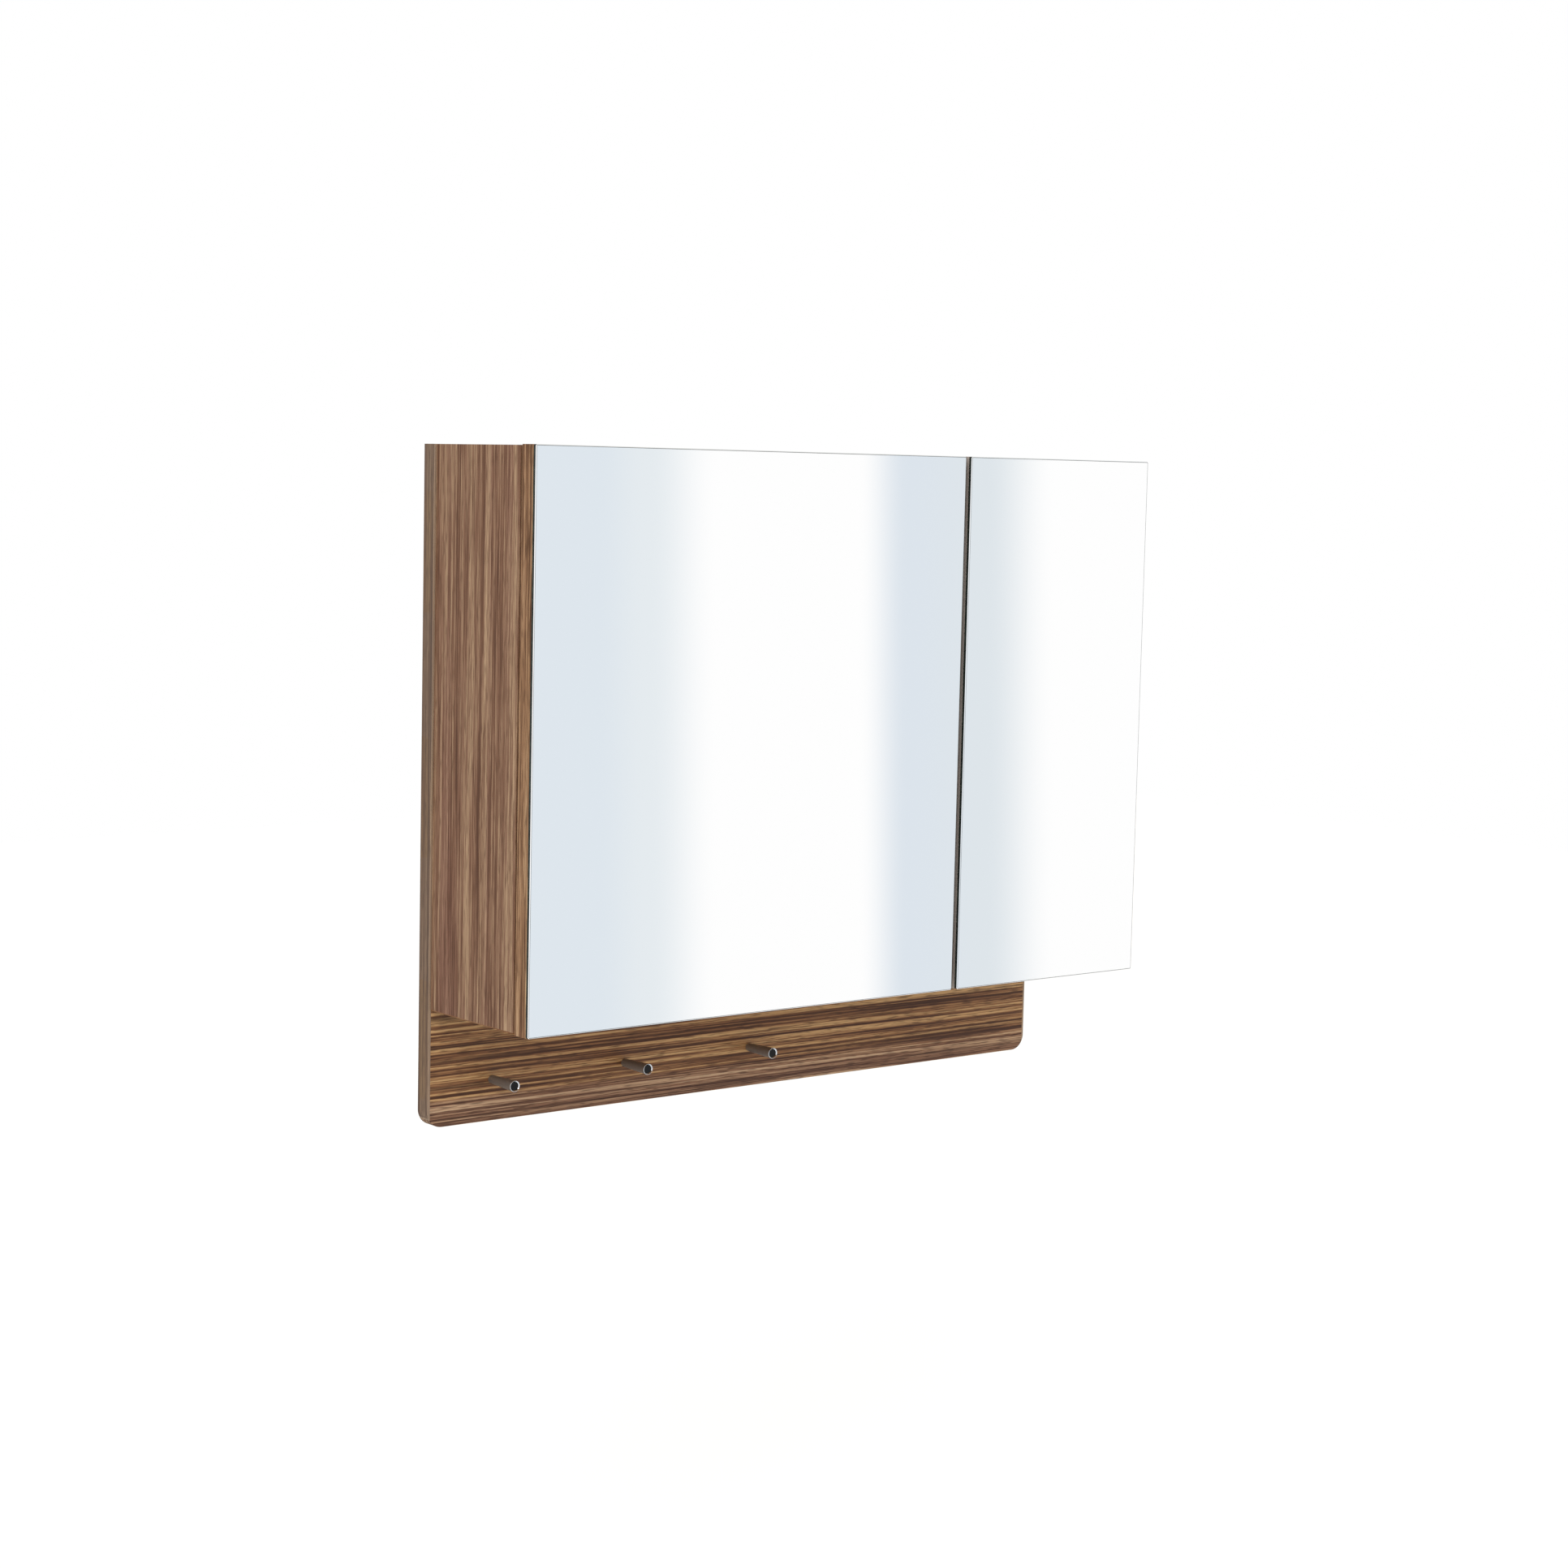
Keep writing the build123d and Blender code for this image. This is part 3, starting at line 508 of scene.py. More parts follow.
            # The free edge of a door has a plain grey band
            signed = add_node(tree, "Math", {0: facing.outputs[0], 1: self.free_side}, operation="MULTIPLY")
            free = add_node(tree, "MapRange", {0: signed, FROM: self.free_from, TO: (0.0, self.free_share)})
            colour = add_node(tree, "Mix", {"Factor": free, 6: colour, 7: linear(self.free_tint)}, **RGBA)
        # Dark ribbons take the lacquer a little duller, and the pores lie a few hundredths lower
        sheen = add_node(tree, "MapRange", {0: drawn["fine"], FROM: NOISE_SPAN, TO: self.roughness})
        relief = add_node(tree, "Bump", {"Height": drawn["pore"], "Strength": self.bump,
                                         "Distance": -self.pore_depth_mm * MM})
        feed(tree, shader, {"Base Color": colour, "Specular IOR Level": self.specular, "Roughness": sheen,
                            "Normal": relief})
        return material


@dataclass(frozen=True)
class SilveredFace:
    """Silvered float glass seen from the front: a clean mirror with the faintest wiping haze."""

    name: str = "silvered_float_glass"
    colour: str = "FEFEFE"
    smear_mm: float = 90.0
    smear_from: Range = (0.45, 0.75)
    roughness: Range = (0.012, 0.03)

    def make(self) -> Material:
        """Build the material.

        Returns:
            A mirror whose gloss varies by a trace over a hand's width.
        """
        material, tree, shader = new_material(self.name)
        spot = add_node(tree, "TexCoord").outputs
        smear = add_node(tree, "TexNoise",
                         {"Vector": spot["Object"], "Scale": 1 / (self.smear_mm * MM), "Detail": 4.0})
        haze = add_node(tree, "MapRange", {0: smear, FROM: self.smear_from, TO: self.roughness})
        feed(tree, shader, {"Base Color": linear(self.colour), "Metallic": 1.0, "Roughness": haze})
        return material


@dataclass(frozen=True)
class GlassEdge:
    """Ground and polished edge of silvered glass with a green cast; its near-black is a painted dark
    reflection of the unlit inside that one sees into the edge.
    """

    name: str = "glass_edge_painted_dark"
    # Near-black is a painted dark reflection; the green cast is the glass's own
    dark: str = "141A18"
    light: str = "2C3833"
    grind_mm: float = 6.0
    roughness: float = 0.18

    def make(self) -> Material:
        """Build the material.

        Returns:
            A glossy material painted nearly black as the edge's dark reflection, with soft patches from the
            grinding.
        """
        material, tree, shader = new_material(self.name)
        _, colour = mottle(tree, self.grind_mm, self.dark, self.light, (0.35, 0.7), 2.0)
        feed(tree, shader, {"Base Color": colour, "IOR": GLASS_IOR, "Roughness": self.roughness})
        return material


@dataclass(frozen=True)
class ShelfGlass:
    """Clear float glass: near colourless through its face, sea green where the eye looks in at an edge."""

    name: str = "clear_float_glass"
    face: str = "F2FAF6"
    edge: str = "8FBFA9"
    roughness: float = 0.015

    def make(self) -> Material:
        """Build the material.

        Returns:
            A clear material that is greener on the upright edges than on the lying faces.
        """
        material, tree, shader = new_material(self.name)
        spot = add_node(tree, "TexCoord").outputs
        facing = add_node(tree, "SeparateXYZ", {0: spot["Normal"]}).outputs
        level = add_node(tree, "Math", {0: facing["Z"]}, operation="ABSOLUTE")
        tint = add_node(tree, "Mix", {"Factor": level, 6: linear(self.edge), 7: linear(self.face)}, **RGBA)
        feed(tree, shader, {"Base Color": tint, "Transmission Weight": 1.0, "IOR": GLASS_IOR,
                            "Roughness": self.roughness})
        return material


@dataclass(frozen=True)
class Plated:
    """Plated metal: chrome, nickel or zinc, told apart by colour, gloss and how fine its texture is."""

    name: str
    pale: str
    deep: str
    roughness: Range
    grit_mm: float
    relief_mm: float
    metallic: float = 1.0
    bump: float = 0.2

    def make(self) -> Material:
        """Build the material.

        Returns:
            A metal with a cloudy tone and a gloss that varies with it.
        """
        material, tree, shader = new_material(self.name)
        cloud, colour = mottle(tree, self.grit_mm, self.deep, self.pale)
        gloss = add_node(tree, "MapRange", {0: cloud, FROM: NOISE_SPAN, TO: self.roughness[::-1]})
        relief = add_node(tree, "Bump",
                          {"Height": cloud, "Strength": self.bump, "Distance": self.relief_mm * MM})
        feed(tree, shader, {"Base Color": colour, "Metallic": self.metallic, "Roughness": gloss,
                            "Normal": relief})
        return material


@dataclass(frozen=True)
class Moulded:
    """Moulded plastic, rubber or plain wood: a matt colour with a fine mottle and a touch of relief."""

    name: str
    deep: str
    pale: str
    roughness: float
    mottle_mm: float
    relief_mm: float
    specular: float = 0.5
    bump: float = 0.3

    def make(self) -> Material:
        """Build the material.

        Returns:
            A matt material with its mottle in colour and in relief.
        """
        material, tree, shader = new_material(self.name)
        cloud, colour = mottle(tree, self.mottle_mm, self.deep, self.pale)
        relief = add_node(tree, "Bump",
                          {"Height": cloud, "Strength": self.bump, "Distance": self.relief_mm * MM})
        feed(tree, shader, {"Base Color": colour, "Roughness": self.roughness,
                            "Specular IOR Level": self.specular, "Normal": relief})
        return material


LYING_FIGURE = Figure(("4C3021", "694935", "835D43", "987456", "AB8866", "BB9975", "C8A883"),
                      mauve="FAF8FF", mauve_share=1.0, line="3A2012", line_share=0.6, gold="FFF3D8",
                      spread=0.046)
UPRIGHT_FIGURE = Figure(("5C3D2D", "714E39", "805C46", "8E6B54", "9A7A5E", "A68669", "B39374"),
                        mauve="EDE1EA", mauve_share=0.9, line="5C3D2A", line_share=0.5)
DOOR_FIGURE = Figure(("5E3D28", "76543A", "8D6848", "9C7655", "AB8662", "BC9872", "CCAC84"),
                     mauve="F0E6EC", mauve_share=0.6, line="54361F", line_share=0.6)


class Finish(Enum):
    """Every finish of the cabinet."""

    # Lying veneer: sharp dark and golden stripes, with a mauver leaf at the foot of the panel; the pale lip
    # at the panel's ends is partly a painted highlight along the arris
    LYING = StripedVeneer("striped_veneer_lying", Axis.ACROSS, Axis.UPRIGHT, LYING_FIGURE,
                          band_tint="5F5046", band_share=0.7, lip_and_arris_highlight_tint="9A8673", lip_from_mm=397.2,
                          band_mm=12.0, stripe_mm=2.8, fine_mm=1.2, weights=(0.22, 0.40, 0.38),
                          mauve_mm=46.0, leaf_across=Axis.UPRIGHT, leaf_joint_mm=-584.0, waver_mm=1.1,
                          waver_length_mm=220.0, ribbon_stretch=0.005, shift=(0.2, 0.4, 0.75))
    # Upright veneer of the sides: the same wood with less contrast
    UPRIGHT = StripedVeneer("striped_veneer_upright", Axis.UPRIGHT, Axis.DEEP, UPRIGHT_FIGURE,
                            band_tint="6B4526", band_share=0.7, lip_and_arris_highlight_tint="7A4A22", lip_from_mm=492.8)
    # Upright veneer of the doors, a little yellower
    LEFT_DOOR = StripedVeneer("striped_veneer_left_door", Axis.UPRIGHT, Axis.ACROSS, DOOR_FIGURE,
                              band_tint="9C7A5C", band_share=0.2, free_side=1, shift=(0.31, 0.17, 0.0))
    RIGHT_DOOR = StripedVeneer("striped_veneer_right_door", Axis.UPRIGHT, Axis.ACROSS, DOOR_FIGURE,
                               band_tint="9C7A5C", band_share=0.2, free_side=-1, shift=(0.83, 0.52, 0.0))
    MIRROR = SilveredFace()
    # Glass edges and the ring inside the arris: a painted dark reflection
    GLASS_EDGE = GlassEdge()
    SHELF_GLASS = ShelfGlass()
    # Polished chrome: clear bright reflections on the pegs' rims and ends
    CHROME = Plated("polished_chrome_plate", "E6E7E8", "DADBDC", (0.03, 0.07), 14.0, 0.002)
    # Satin chrome: fine turning marks blur the reflections on the pegs' tapers into grey
    SATIN = Plated("satin_turned_chrome", "938C87", "878079", (0.36, 0.44), 0.7, 0.002, metallic=0.6)
    # Nickel on pressed steel: pale, warm and half matt
    NICKEL = Plated("nickel_plated_steel", "CFCBC4", "BBB6AD", (0.30, 0.42), 2.5, 0.01, metallic=0.72)
    # Bright zinc on screws and cams: cooler and patchier than nickel
    ZINC = Plated("zinc_plated_steel", "C3C6C6", "9FA3A4", (0.28, 0.42), 1.6, 0.01)
    # Turned beech: pale and matt, with small flecks
    BEECH = Moulded("turned_beech", "B98F63", "D2AC7E", 0.6, 1.4, 0.03)
    # Brown polypropylene: half matt, with the mould's fine grain
    PLASTIC = Moulded("moulded_brown_polypropylene", "2E2019", "3A2A21", 0.5, 0.9, 0.02)
    # Silicone: milky, smooth and soft in its highlights
    SILICONE = Moulded("milky_silicone", "CFCFCB", "E2E2DE", 0.35, 2.0, 0.01)
    # Black of the plugs: a dark disc in the pegs' bright rings, painted as the dark reflection in their ends
    PLUG = Moulded("black_plug_painted_reflection", "0B0B0D", "141417", 0.2, 0.8, 0.01, specular=0.2)


class Palette:
    """The materials of the cabinet, built once."""

    def __init__(self) -> None:
        """Build every finish."""
        self.made: dict[Finish, Material] = {finish: finish.value.make() for finish in Finish}

    def dress(self, finish: Finish, *nodes: str) -> None:
        """Give CAD nodes one of the finishes.

        Args:
            finish: the finish that they get.
            nodes: names of the nodes.
        """
        for node in nodes:
            paint(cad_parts[node], self.made[finish])
            log.info("%s: %s", node, self.made[finish].name)


@dataclass
class Carcass:
    """Back panel and box: veneered boards, the dowels and cams that join them and their hanger plates."""

    palette: Palette
    lying: tuple[str, ...] = ("back_panel", "top_board", "bottom_board")
    upright: tuple[str, ...] = ("left_side", "right_side", "partition")
    cams: tuple[str, ...] = ("cam_locks", "cam_bolts")
    hangers: tuple[str, ...] = ("left_hanger_plate", "right_hanger_plate")

    def dress(self) -> None:
        """Give the boards their veneer and the joints their metal and wood."""
        self.palette.dress(Finish.LYING, *self.lying)
        self.palette.dress(Finish.UPRIGHT, *self.upright)
        self.palette.dress(Finish.ZINC, *self.cams)
        self.palette.dress(Finish.NICKEL, *self.hangers)
        self.palette.dress(Finish.BEECH, "dowels")


@dataclass
class Shelving:
    """Glass shelves on steel pins, two tiers in each bay."""

    palette: Palette
    bays: tuple[str, ...] = ("left", "right")
    tiers: tuple[str, ...] = ("lower", "upper")

    def dress(self) -> None:
        """Give the shelves their glass and the pins their plating."""
        shelves = [f"{bay}_{tier}_shelf" for bay in self.bays for tier in self.tiers]
        self.palette.dress(Finish.SHELF_GLASS, *shelves)
        self.palette.dress(Finish.NICKEL, "shelf_pins")


@dataclass
class MirrorDoor:
    """One door: a veneered board with a silvered glass bonded to its front, hung on two cup hinges."""

    palette: Palette
    side: str
    veneer: Finish
    arris: float = 0.7 * MM
    # Width of a ring inside the arris that is painted dark, as the dark reflection at the glass's edge
    painted_dark_ring: float = 0.38 * MM
    corner_clip: float = 1.2 * MM
    tiers: tuple[str, ...] = ("upper", "lower")
    hinge_parts: tuple[str, ...] = ("cup", "pin", "plate", "arm")

    def outline(self, low: Vector, high: Vector, inset: float) -> list[Range]:
        """Walk round the glass with its clipped corners.

        Args:
            low: lowest corner of the glass.
            high: highest corner of the glass.
            inset: distance in from the edges.

        Returns:
            Places in X and Z, anticlockwise seen from the front.
        """
        clip = self.corner_clip - inset * (2 - math.sqrt(2))
        x0, x1, z0, z1 = low.x + inset, high.x - inset, low.z + inset, high.z - inset
        return [(x0 + clip, z0), (x1 - clip, z0), (x1, z0 + clip), (x1, z1 - clip),
                (x1 - clip, z1), (x0 + clip, z1), (x0, z1 - clip), (x0, z0 + clip)]

    def build_glass(self) -> Object:
        """Build the glass with its polished arris and a thin ring inside the arris painted as dark as the
        edges.

        Returns:
            The glass, with silvered front and arris, and edges and ring painted dark as the glass's dark
            reflection.
        """
        node = f"{self.side}_mirror"
        name = f"{node}_glass"
        low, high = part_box(node)
        steps = [(high.y, 0.0), (low.y + self.arris, 0.0), (low.y, self.arris),
                 (low.y, self.arris + self.painted_dark_ring)]
        rings = [[(x, y, z) for x, z in self.outline(low, high, inset)] for y, inset in steps]
        silver, dark_painted = 0, 1
        mesh = lofted(name, rings, [dark_painted, silver, dark_painted], (dark_painted, silver))
        piece = new_piece(name, mesh, f"{self.side}_door", "silvered_mirror", node)
        paint(piece, self.palette.made[Finish.MIRROR], self.palette.made[Finish.GLASS_EDGE])
        return piece

    def dress(self) -> None:
        """Give the board, the hinges, the bumpers and the catch their finishes."""
        hinges = [f"{self.side}_{tier}_hinge_{part}" for tier in self.tiers for part in self.hinge_parts]
        self.palette.dress(self.veneer, f"{self.side}_door_board")
        self.palette.dress(Finish.NICKEL, *hinges, f"{self.side}_strike_plate", f"{self.side}_catch_magnet")
        self.palette.dress(Finish.SILICONE, f"{self.side}_door_bumpers")
        self.palette.dress(Finish.PLASTIC, f"{self.side}_catch_housing")


@dataclass
class CoatPeg:
    """One turned peg: satin taper, polished rim and countersunk end, with a plug let into it whose black is
    a painted dark reflection.
    """

    palette: Palette
    place: str
    foot_r: float = 4.2 * MM
    rim: float = 0.4 * MM
    dish: float = 0.8 * MM
    socket_r: float = 4.5 * MM
    socket_depth: float = 3.1 * MM
    segments: int = 72
    rim_steps: int = 8
    sharp_deg: float = 35.0

    def profile(self, head_r: float, length: float) -> list[Range]:
        """Work out the turned outline.

        Args:
            head_r: radius of the head.
            length: how far the peg stands out.

        Returns:
            Radius and distance from the panel, from the foot to the floor of the socket.
        """
        edge, shoulder, mouth = head_r - self.rim, length - self.rim, length - self.dish
        points = [(self.foot_r, 0.0)]
        for i in range(self.rim_steps + 1):
            turn = math.pi / 2 * i / self.rim_steps
            points.append((edge + self.rim * math.cos(turn), shoulder + self.rim * math.sin(turn)))
        return points + [(self.socket_r, mouth), (self.socket_r, mouth - self.socket_depth)]

    def build(self) -> Object:
        """Turn the peg on its own axis.

        Returns:
            The smooth peg, standing where its CAD node stands.
        """
        node = f"{self.place}_coat_peg"
        name = f"{node}_turned"
        low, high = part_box(node)
        middle = (low + high) / 2
        turns = [2 * math.pi * k / self.segments for k in range(self.segments)]
        rings = [[(middle.x + radius * math.cos(turn), high.y - out, middle.z + radius * math.sin(turn))
                  for turn in turns]
                 for radius, out in self.profile((high.x - low.x) / 2, high.y - low.y)]
        satin, polished = 0, 1
        mesh = lofted(name, rings, [satin] + [polished] * (len(rings) - 2), (polished, polished))
        mesh.shade_smooth()
        mesh.set_sharp_from_angle(angle=math.radians(self.sharp_deg))
        piece = new_piece(name, mesh, "cabinet", "peg_chrome", node)
        paint(piece, self.palette.made[Finish.SATIN], self.palette.made[Finish.CHROME])
        # The plug's black is a painted dark reflection in the peg's end
        self.palette.dress(Finish.PLUG, f"{self.place}_peg_plug")
        return piece


@dataclass
class ScrewShape:
    """Sizes and place of one CAD screw, measured on the frame."""

    seat: Vector
    aim: Vector
    head_r: float
    head_h: float
    shank_r: float
    shank_length: float
    sunk: bool


@dataclass
class ScrewRow:
    """A group of equal cross-recess screws, drawn by Geometry Nodes in place of the CAD group."""

    palette: Palette
    node: str
    body: str
    run: Axis
    crown_share: float = 0.82
    recess_share: float = 0.62
    recess_width_share: float = 0.2
    recess_depth_share: float = 0.6
    head_sides: int = 28
    shank_sides: int = 20
    weld: float = 0.001 * MM
    near: float = 0.02 * MM
    seed: int = 7

    def solids(self) -> list[list[Vector]]:
        """Split the CAD group into its single screws.

        Returns:
            The corners of each screw.
        """
        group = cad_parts[self.node].data
        corners = [v.co.copy() for v in group.vertices]
        keys = [tuple(round(c / self.weld) for c in corner) for corner in corners]
        owner: dict[tuple[int, ...], int] = {}
        parent: list[int] = []

        def root(i: int) -> int:
            """Find the first corner of the screw that a corner belongs to.

            Args:
                i: number of the corner.

            Returns:
                Number of the first corner.
            """
            while parent[i] != i:
                parent[i] = parent[parent[i]]
                i = parent[i]
            return i

        for key in keys:
            if key not in owner:
                owner[key] = len(parent)
                parent.append(owner[key])
        for face in group.polygons:
            first = root(owner[keys[face.vertices[0]]])
            for v in face.vertices[1:]:
                parent[root(owner[keys[v]])] = first
        screws: dict[int, list[Vector]] = {}
        for key, corner in zip(keys, corners):
            screws.setdefault(root(owner[key]), []).append(corner)
        return list(screws.values())

    def measure(self, corners: list[Vector]) -> ScrewShape:
        """Read one screw's sizes off its corners.

        Args:
            corners: all corners of one CAD screw.

        Returns:
            Its seat, the way its head faces, and its radii and lengths.
        """
        axis, near = self.run.value, self.near
        others = [i for i in range(3) if i != axis]
        middle = [(min(c[i] for c in corners) + max(c[i] for c in corners)) / 2 for i in range(3)]
        spans = [(c[axis], math.hypot(*(c[i] - middle[i] for i in others))) for c in corners]
        low, high = min(a for a, _ in spans), max(a for a, _ in spans)
        low_r = max(r for a, r in spans if a - low < near)
        high_r = max(r for a, r in spans if high - a < near)
        way = 1 if high_r > low_r else -1
        top, tip = (high, low) if way == 1 else (low, high)
        head_r, shank_r = max(low_r, high_r), min(low_r, high_r)
        head_h = min(abs(a - top) for a, r in spans if abs(r - shank_r) < near < abs(a - top))
        under_r = max(r for a, r in spans if abs(abs(a - top) - head_h) < near)
        aim = Vector((0.0, 0.0, 0.0))
        aim[axis] = way
        seat = Vector(middle)
        seat[axis] = top - way * head_h
        return ScrewShape(seat, aim, head_r, head_h, shank_r, shank_length=abs(tip - top) - head_h,
                          sunk=under_r < head_r - near)

    def tree(self) -> NodeTree:
        """Build the tree that sets one screw on every point, turned by chance about its own axis.

        Returns:
            A geometry tree with named inputs for the screw's sizes.
        """
        tree = bpy.data.node_groups.new(f"{self.node}_tree", "GeometryNodeTree")
        faces = tree.interface
        faces.new_socket("Geometry", in_out="INPUT", socket_type="NodeSocketGeometry")
        for name in ("Crown radius", "Seat radius", "Head height", "Shank radius", "Shank length",
                     "Recess span", "Recess width", "Recess depth"):
            faces.new_socket(name, in_out="INPUT", socket_type="NodeSocketFloat")
        faces.new_socket("Seed", in_out="INPUT", socket_type="NodeSocketInt")
        faces.new_socket("Finish", in_out="INPUT", socket_type="NodeSocketMaterial")
        faces.new_socket("Geometry", in_out="OUTPUT", socket_type="NodeSocketGeometry")
        given = add_node(tree, "NodeGroupInput").outputs
        # The head, with two crossed bars cut out of its top
        head = add_node(tree, "GeometryNodeMeshCone",
                        {"Vertices": self.head_sides, "Radius Top": given["Crown radius"],
                         "Radius Bottom": given["Seat radius"], "Depth": given["Head height"]},
                        fill_type="NGON")
        twice = add_node(tree, "Math", {0: given["Recess depth"], 1: 2.0}, operation="MULTIPLY")
        at_top = add_node(tree, "CombineXYZ", {"Z": given["Head height"]})
        cut = add_node(tree, "GeometryNodeMeshBoolean", {0: head}, operation="DIFFERENCE")
        for x, y in (("Recess span", "Recess width"), ("Recess width", "Recess span")):
            size = add_node(tree, "CombineXYZ", {"X": given[x], "Y": given[y], "Z": twice})
            bar = add_node(tree, "GeometryNodeMeshCube", {"Size": size})
            arm = add_node(tree, "GeometryNodeTransform", {"Geometry": bar, "Translation": at_top})
            feed(tree, cut, {1: arm})
        # The shank below it
        half = add_node(tree, "Math", {0: given["Shank length"], 1: -0.5}, operation="MULTIPLY")
        below = add_node(tree, "CombineXYZ", {"Z": half})
        shank = add_node(tree, "GeometryNodeMeshCylinder",
                         {"Vertices": self.shank_sides, "Radius": given["Shank radius"],
                          "Depth": given["Shank length"]}, fill_type="NGON")
        lowered = add_node(tree, "GeometryNodeTransform", {"Geometry": shank, "Translation": below})
        whole = add_node(tree, "GeometryNodeJoinGeometry", {0: cut})
        feed(tree, whole, {0: lowered})
        # One screw on every point, along the point's aim
        aim = add_node(tree, "GeometryNodeInputNamedAttribute", {"Name": "aim"}, data_type="FLOAT_VECTOR")
        stand = add_node(tree, "FunctionNodeAlignRotationToVector", {"Vector": aim}, axis="Z")
        chance = add_node(tree, "FunctionNodeRandomValue", {2: 0.0, 3: math.pi / 2, "Seed": given["Seed"]},
                          data_type="FLOAT")
        spin = add_node(tree, "FunctionNodeAxisAngleToRotation", {"Axis": (0.0, 0.0, 1.0), "Angle": chance})
        turned = add_node(tree, "FunctionNodeRotateRotation", {0: stand, 1: spin}, rotation_space="LOCAL")
        placed = add_node(tree, "GeometryNodeInstanceOnPoints",
                          {"Points": given["Geometry"], "Instance": whole, "Rotation": turned})
        real = add_node(tree, "GeometryNodeRealizeInstances", {0: placed})
        finished = add_node(tree, "GeometryNodeSetMaterial", {0: real, "Material": given["Finish"]})
        add_node(tree, "NodeGroupOutput", {0: finished})
        return tree

    def build(self) -> Object:
        """Draw the screws and let them stand for the CAD group.

        Returns:
            One plain mesh with all screws of the group.
        """
        shapes = [self.measure(corners) for corners in self.solids()]
        one = shapes[0]
        points = bpy.data.meshes.new(f"{self.node}_points")
        points.from_pydata([shape.seat for shape in shapes], [], [])
        aims = points.attributes.new("aim", "FLOAT_VECTOR", "POINT")
        for i, shape in enumerate(shapes):
            aims.data[i].vector = shape.aim
        carrier = linked(f"{self.node}_points", points)
        tree = self.tree()
        modifier = carrier.modifiers.new("screws", "NODES")
        modifier.node_group = tree
        values = {"Crown radius": one.head_r if one.sunk else one.head_r * self.crown_share,
                  "Seat radius": one.shank_r if one.sunk else one.head_r, "Head height": one.head_h,
                  "Shank radius": one.shank_r, "Shank length": one.shank_length,
                  "Recess span": 2 * one.head_r * self.recess_share,
                  "Recess width": 2 * one.head_r * self.recess_width_share,
                  "Recess depth": one.head_h * self.recess_depth_share,
                  "Seed": self.seed, "Finish": self.palette.made[Finish.ZINC]}
        for item in tree.interface.items_tree:
            if item.in_out == "INPUT" and item.name in values:
                modifier[item.identifier] = values[item.name]
        graph = bpy.context.evaluated_depsgraph_get()
        mesh = bpy.data.meshes.new_from_object(carrier.evaluated_get(graph))
        carrier.modifiers.clear()
        bpy.data.objects.remove(carrier)
        mesh.name = f"{self.node}_cross_recess"
        return new_piece(mesh.name, mesh, self.body, "zinc_screw", self.node)


SCREW_ROWS = (
    ("hinge_plate_screws", "cabinet", Axis.ACROSS),
    ("hinge_arm_screws", "cabinet", Axis.ACROSS),
    ("catch_screws", "cabinet", Axis.UPRIGHT),
    ("panel_screws", "cabinet", Axis.DEEP),
    ("partition_screws", "cabinet", Axis.UPRIGHT),
    ("hanger_screws", "cabinet", Axis.DEEP),
    ("peg_screws", "cabinet", Axis.DEEP),
    ("left_cup_screws", "left_door", Axis.DEEP),
    ("right_cup_screws", "right_door", Axis.DEEP),
)


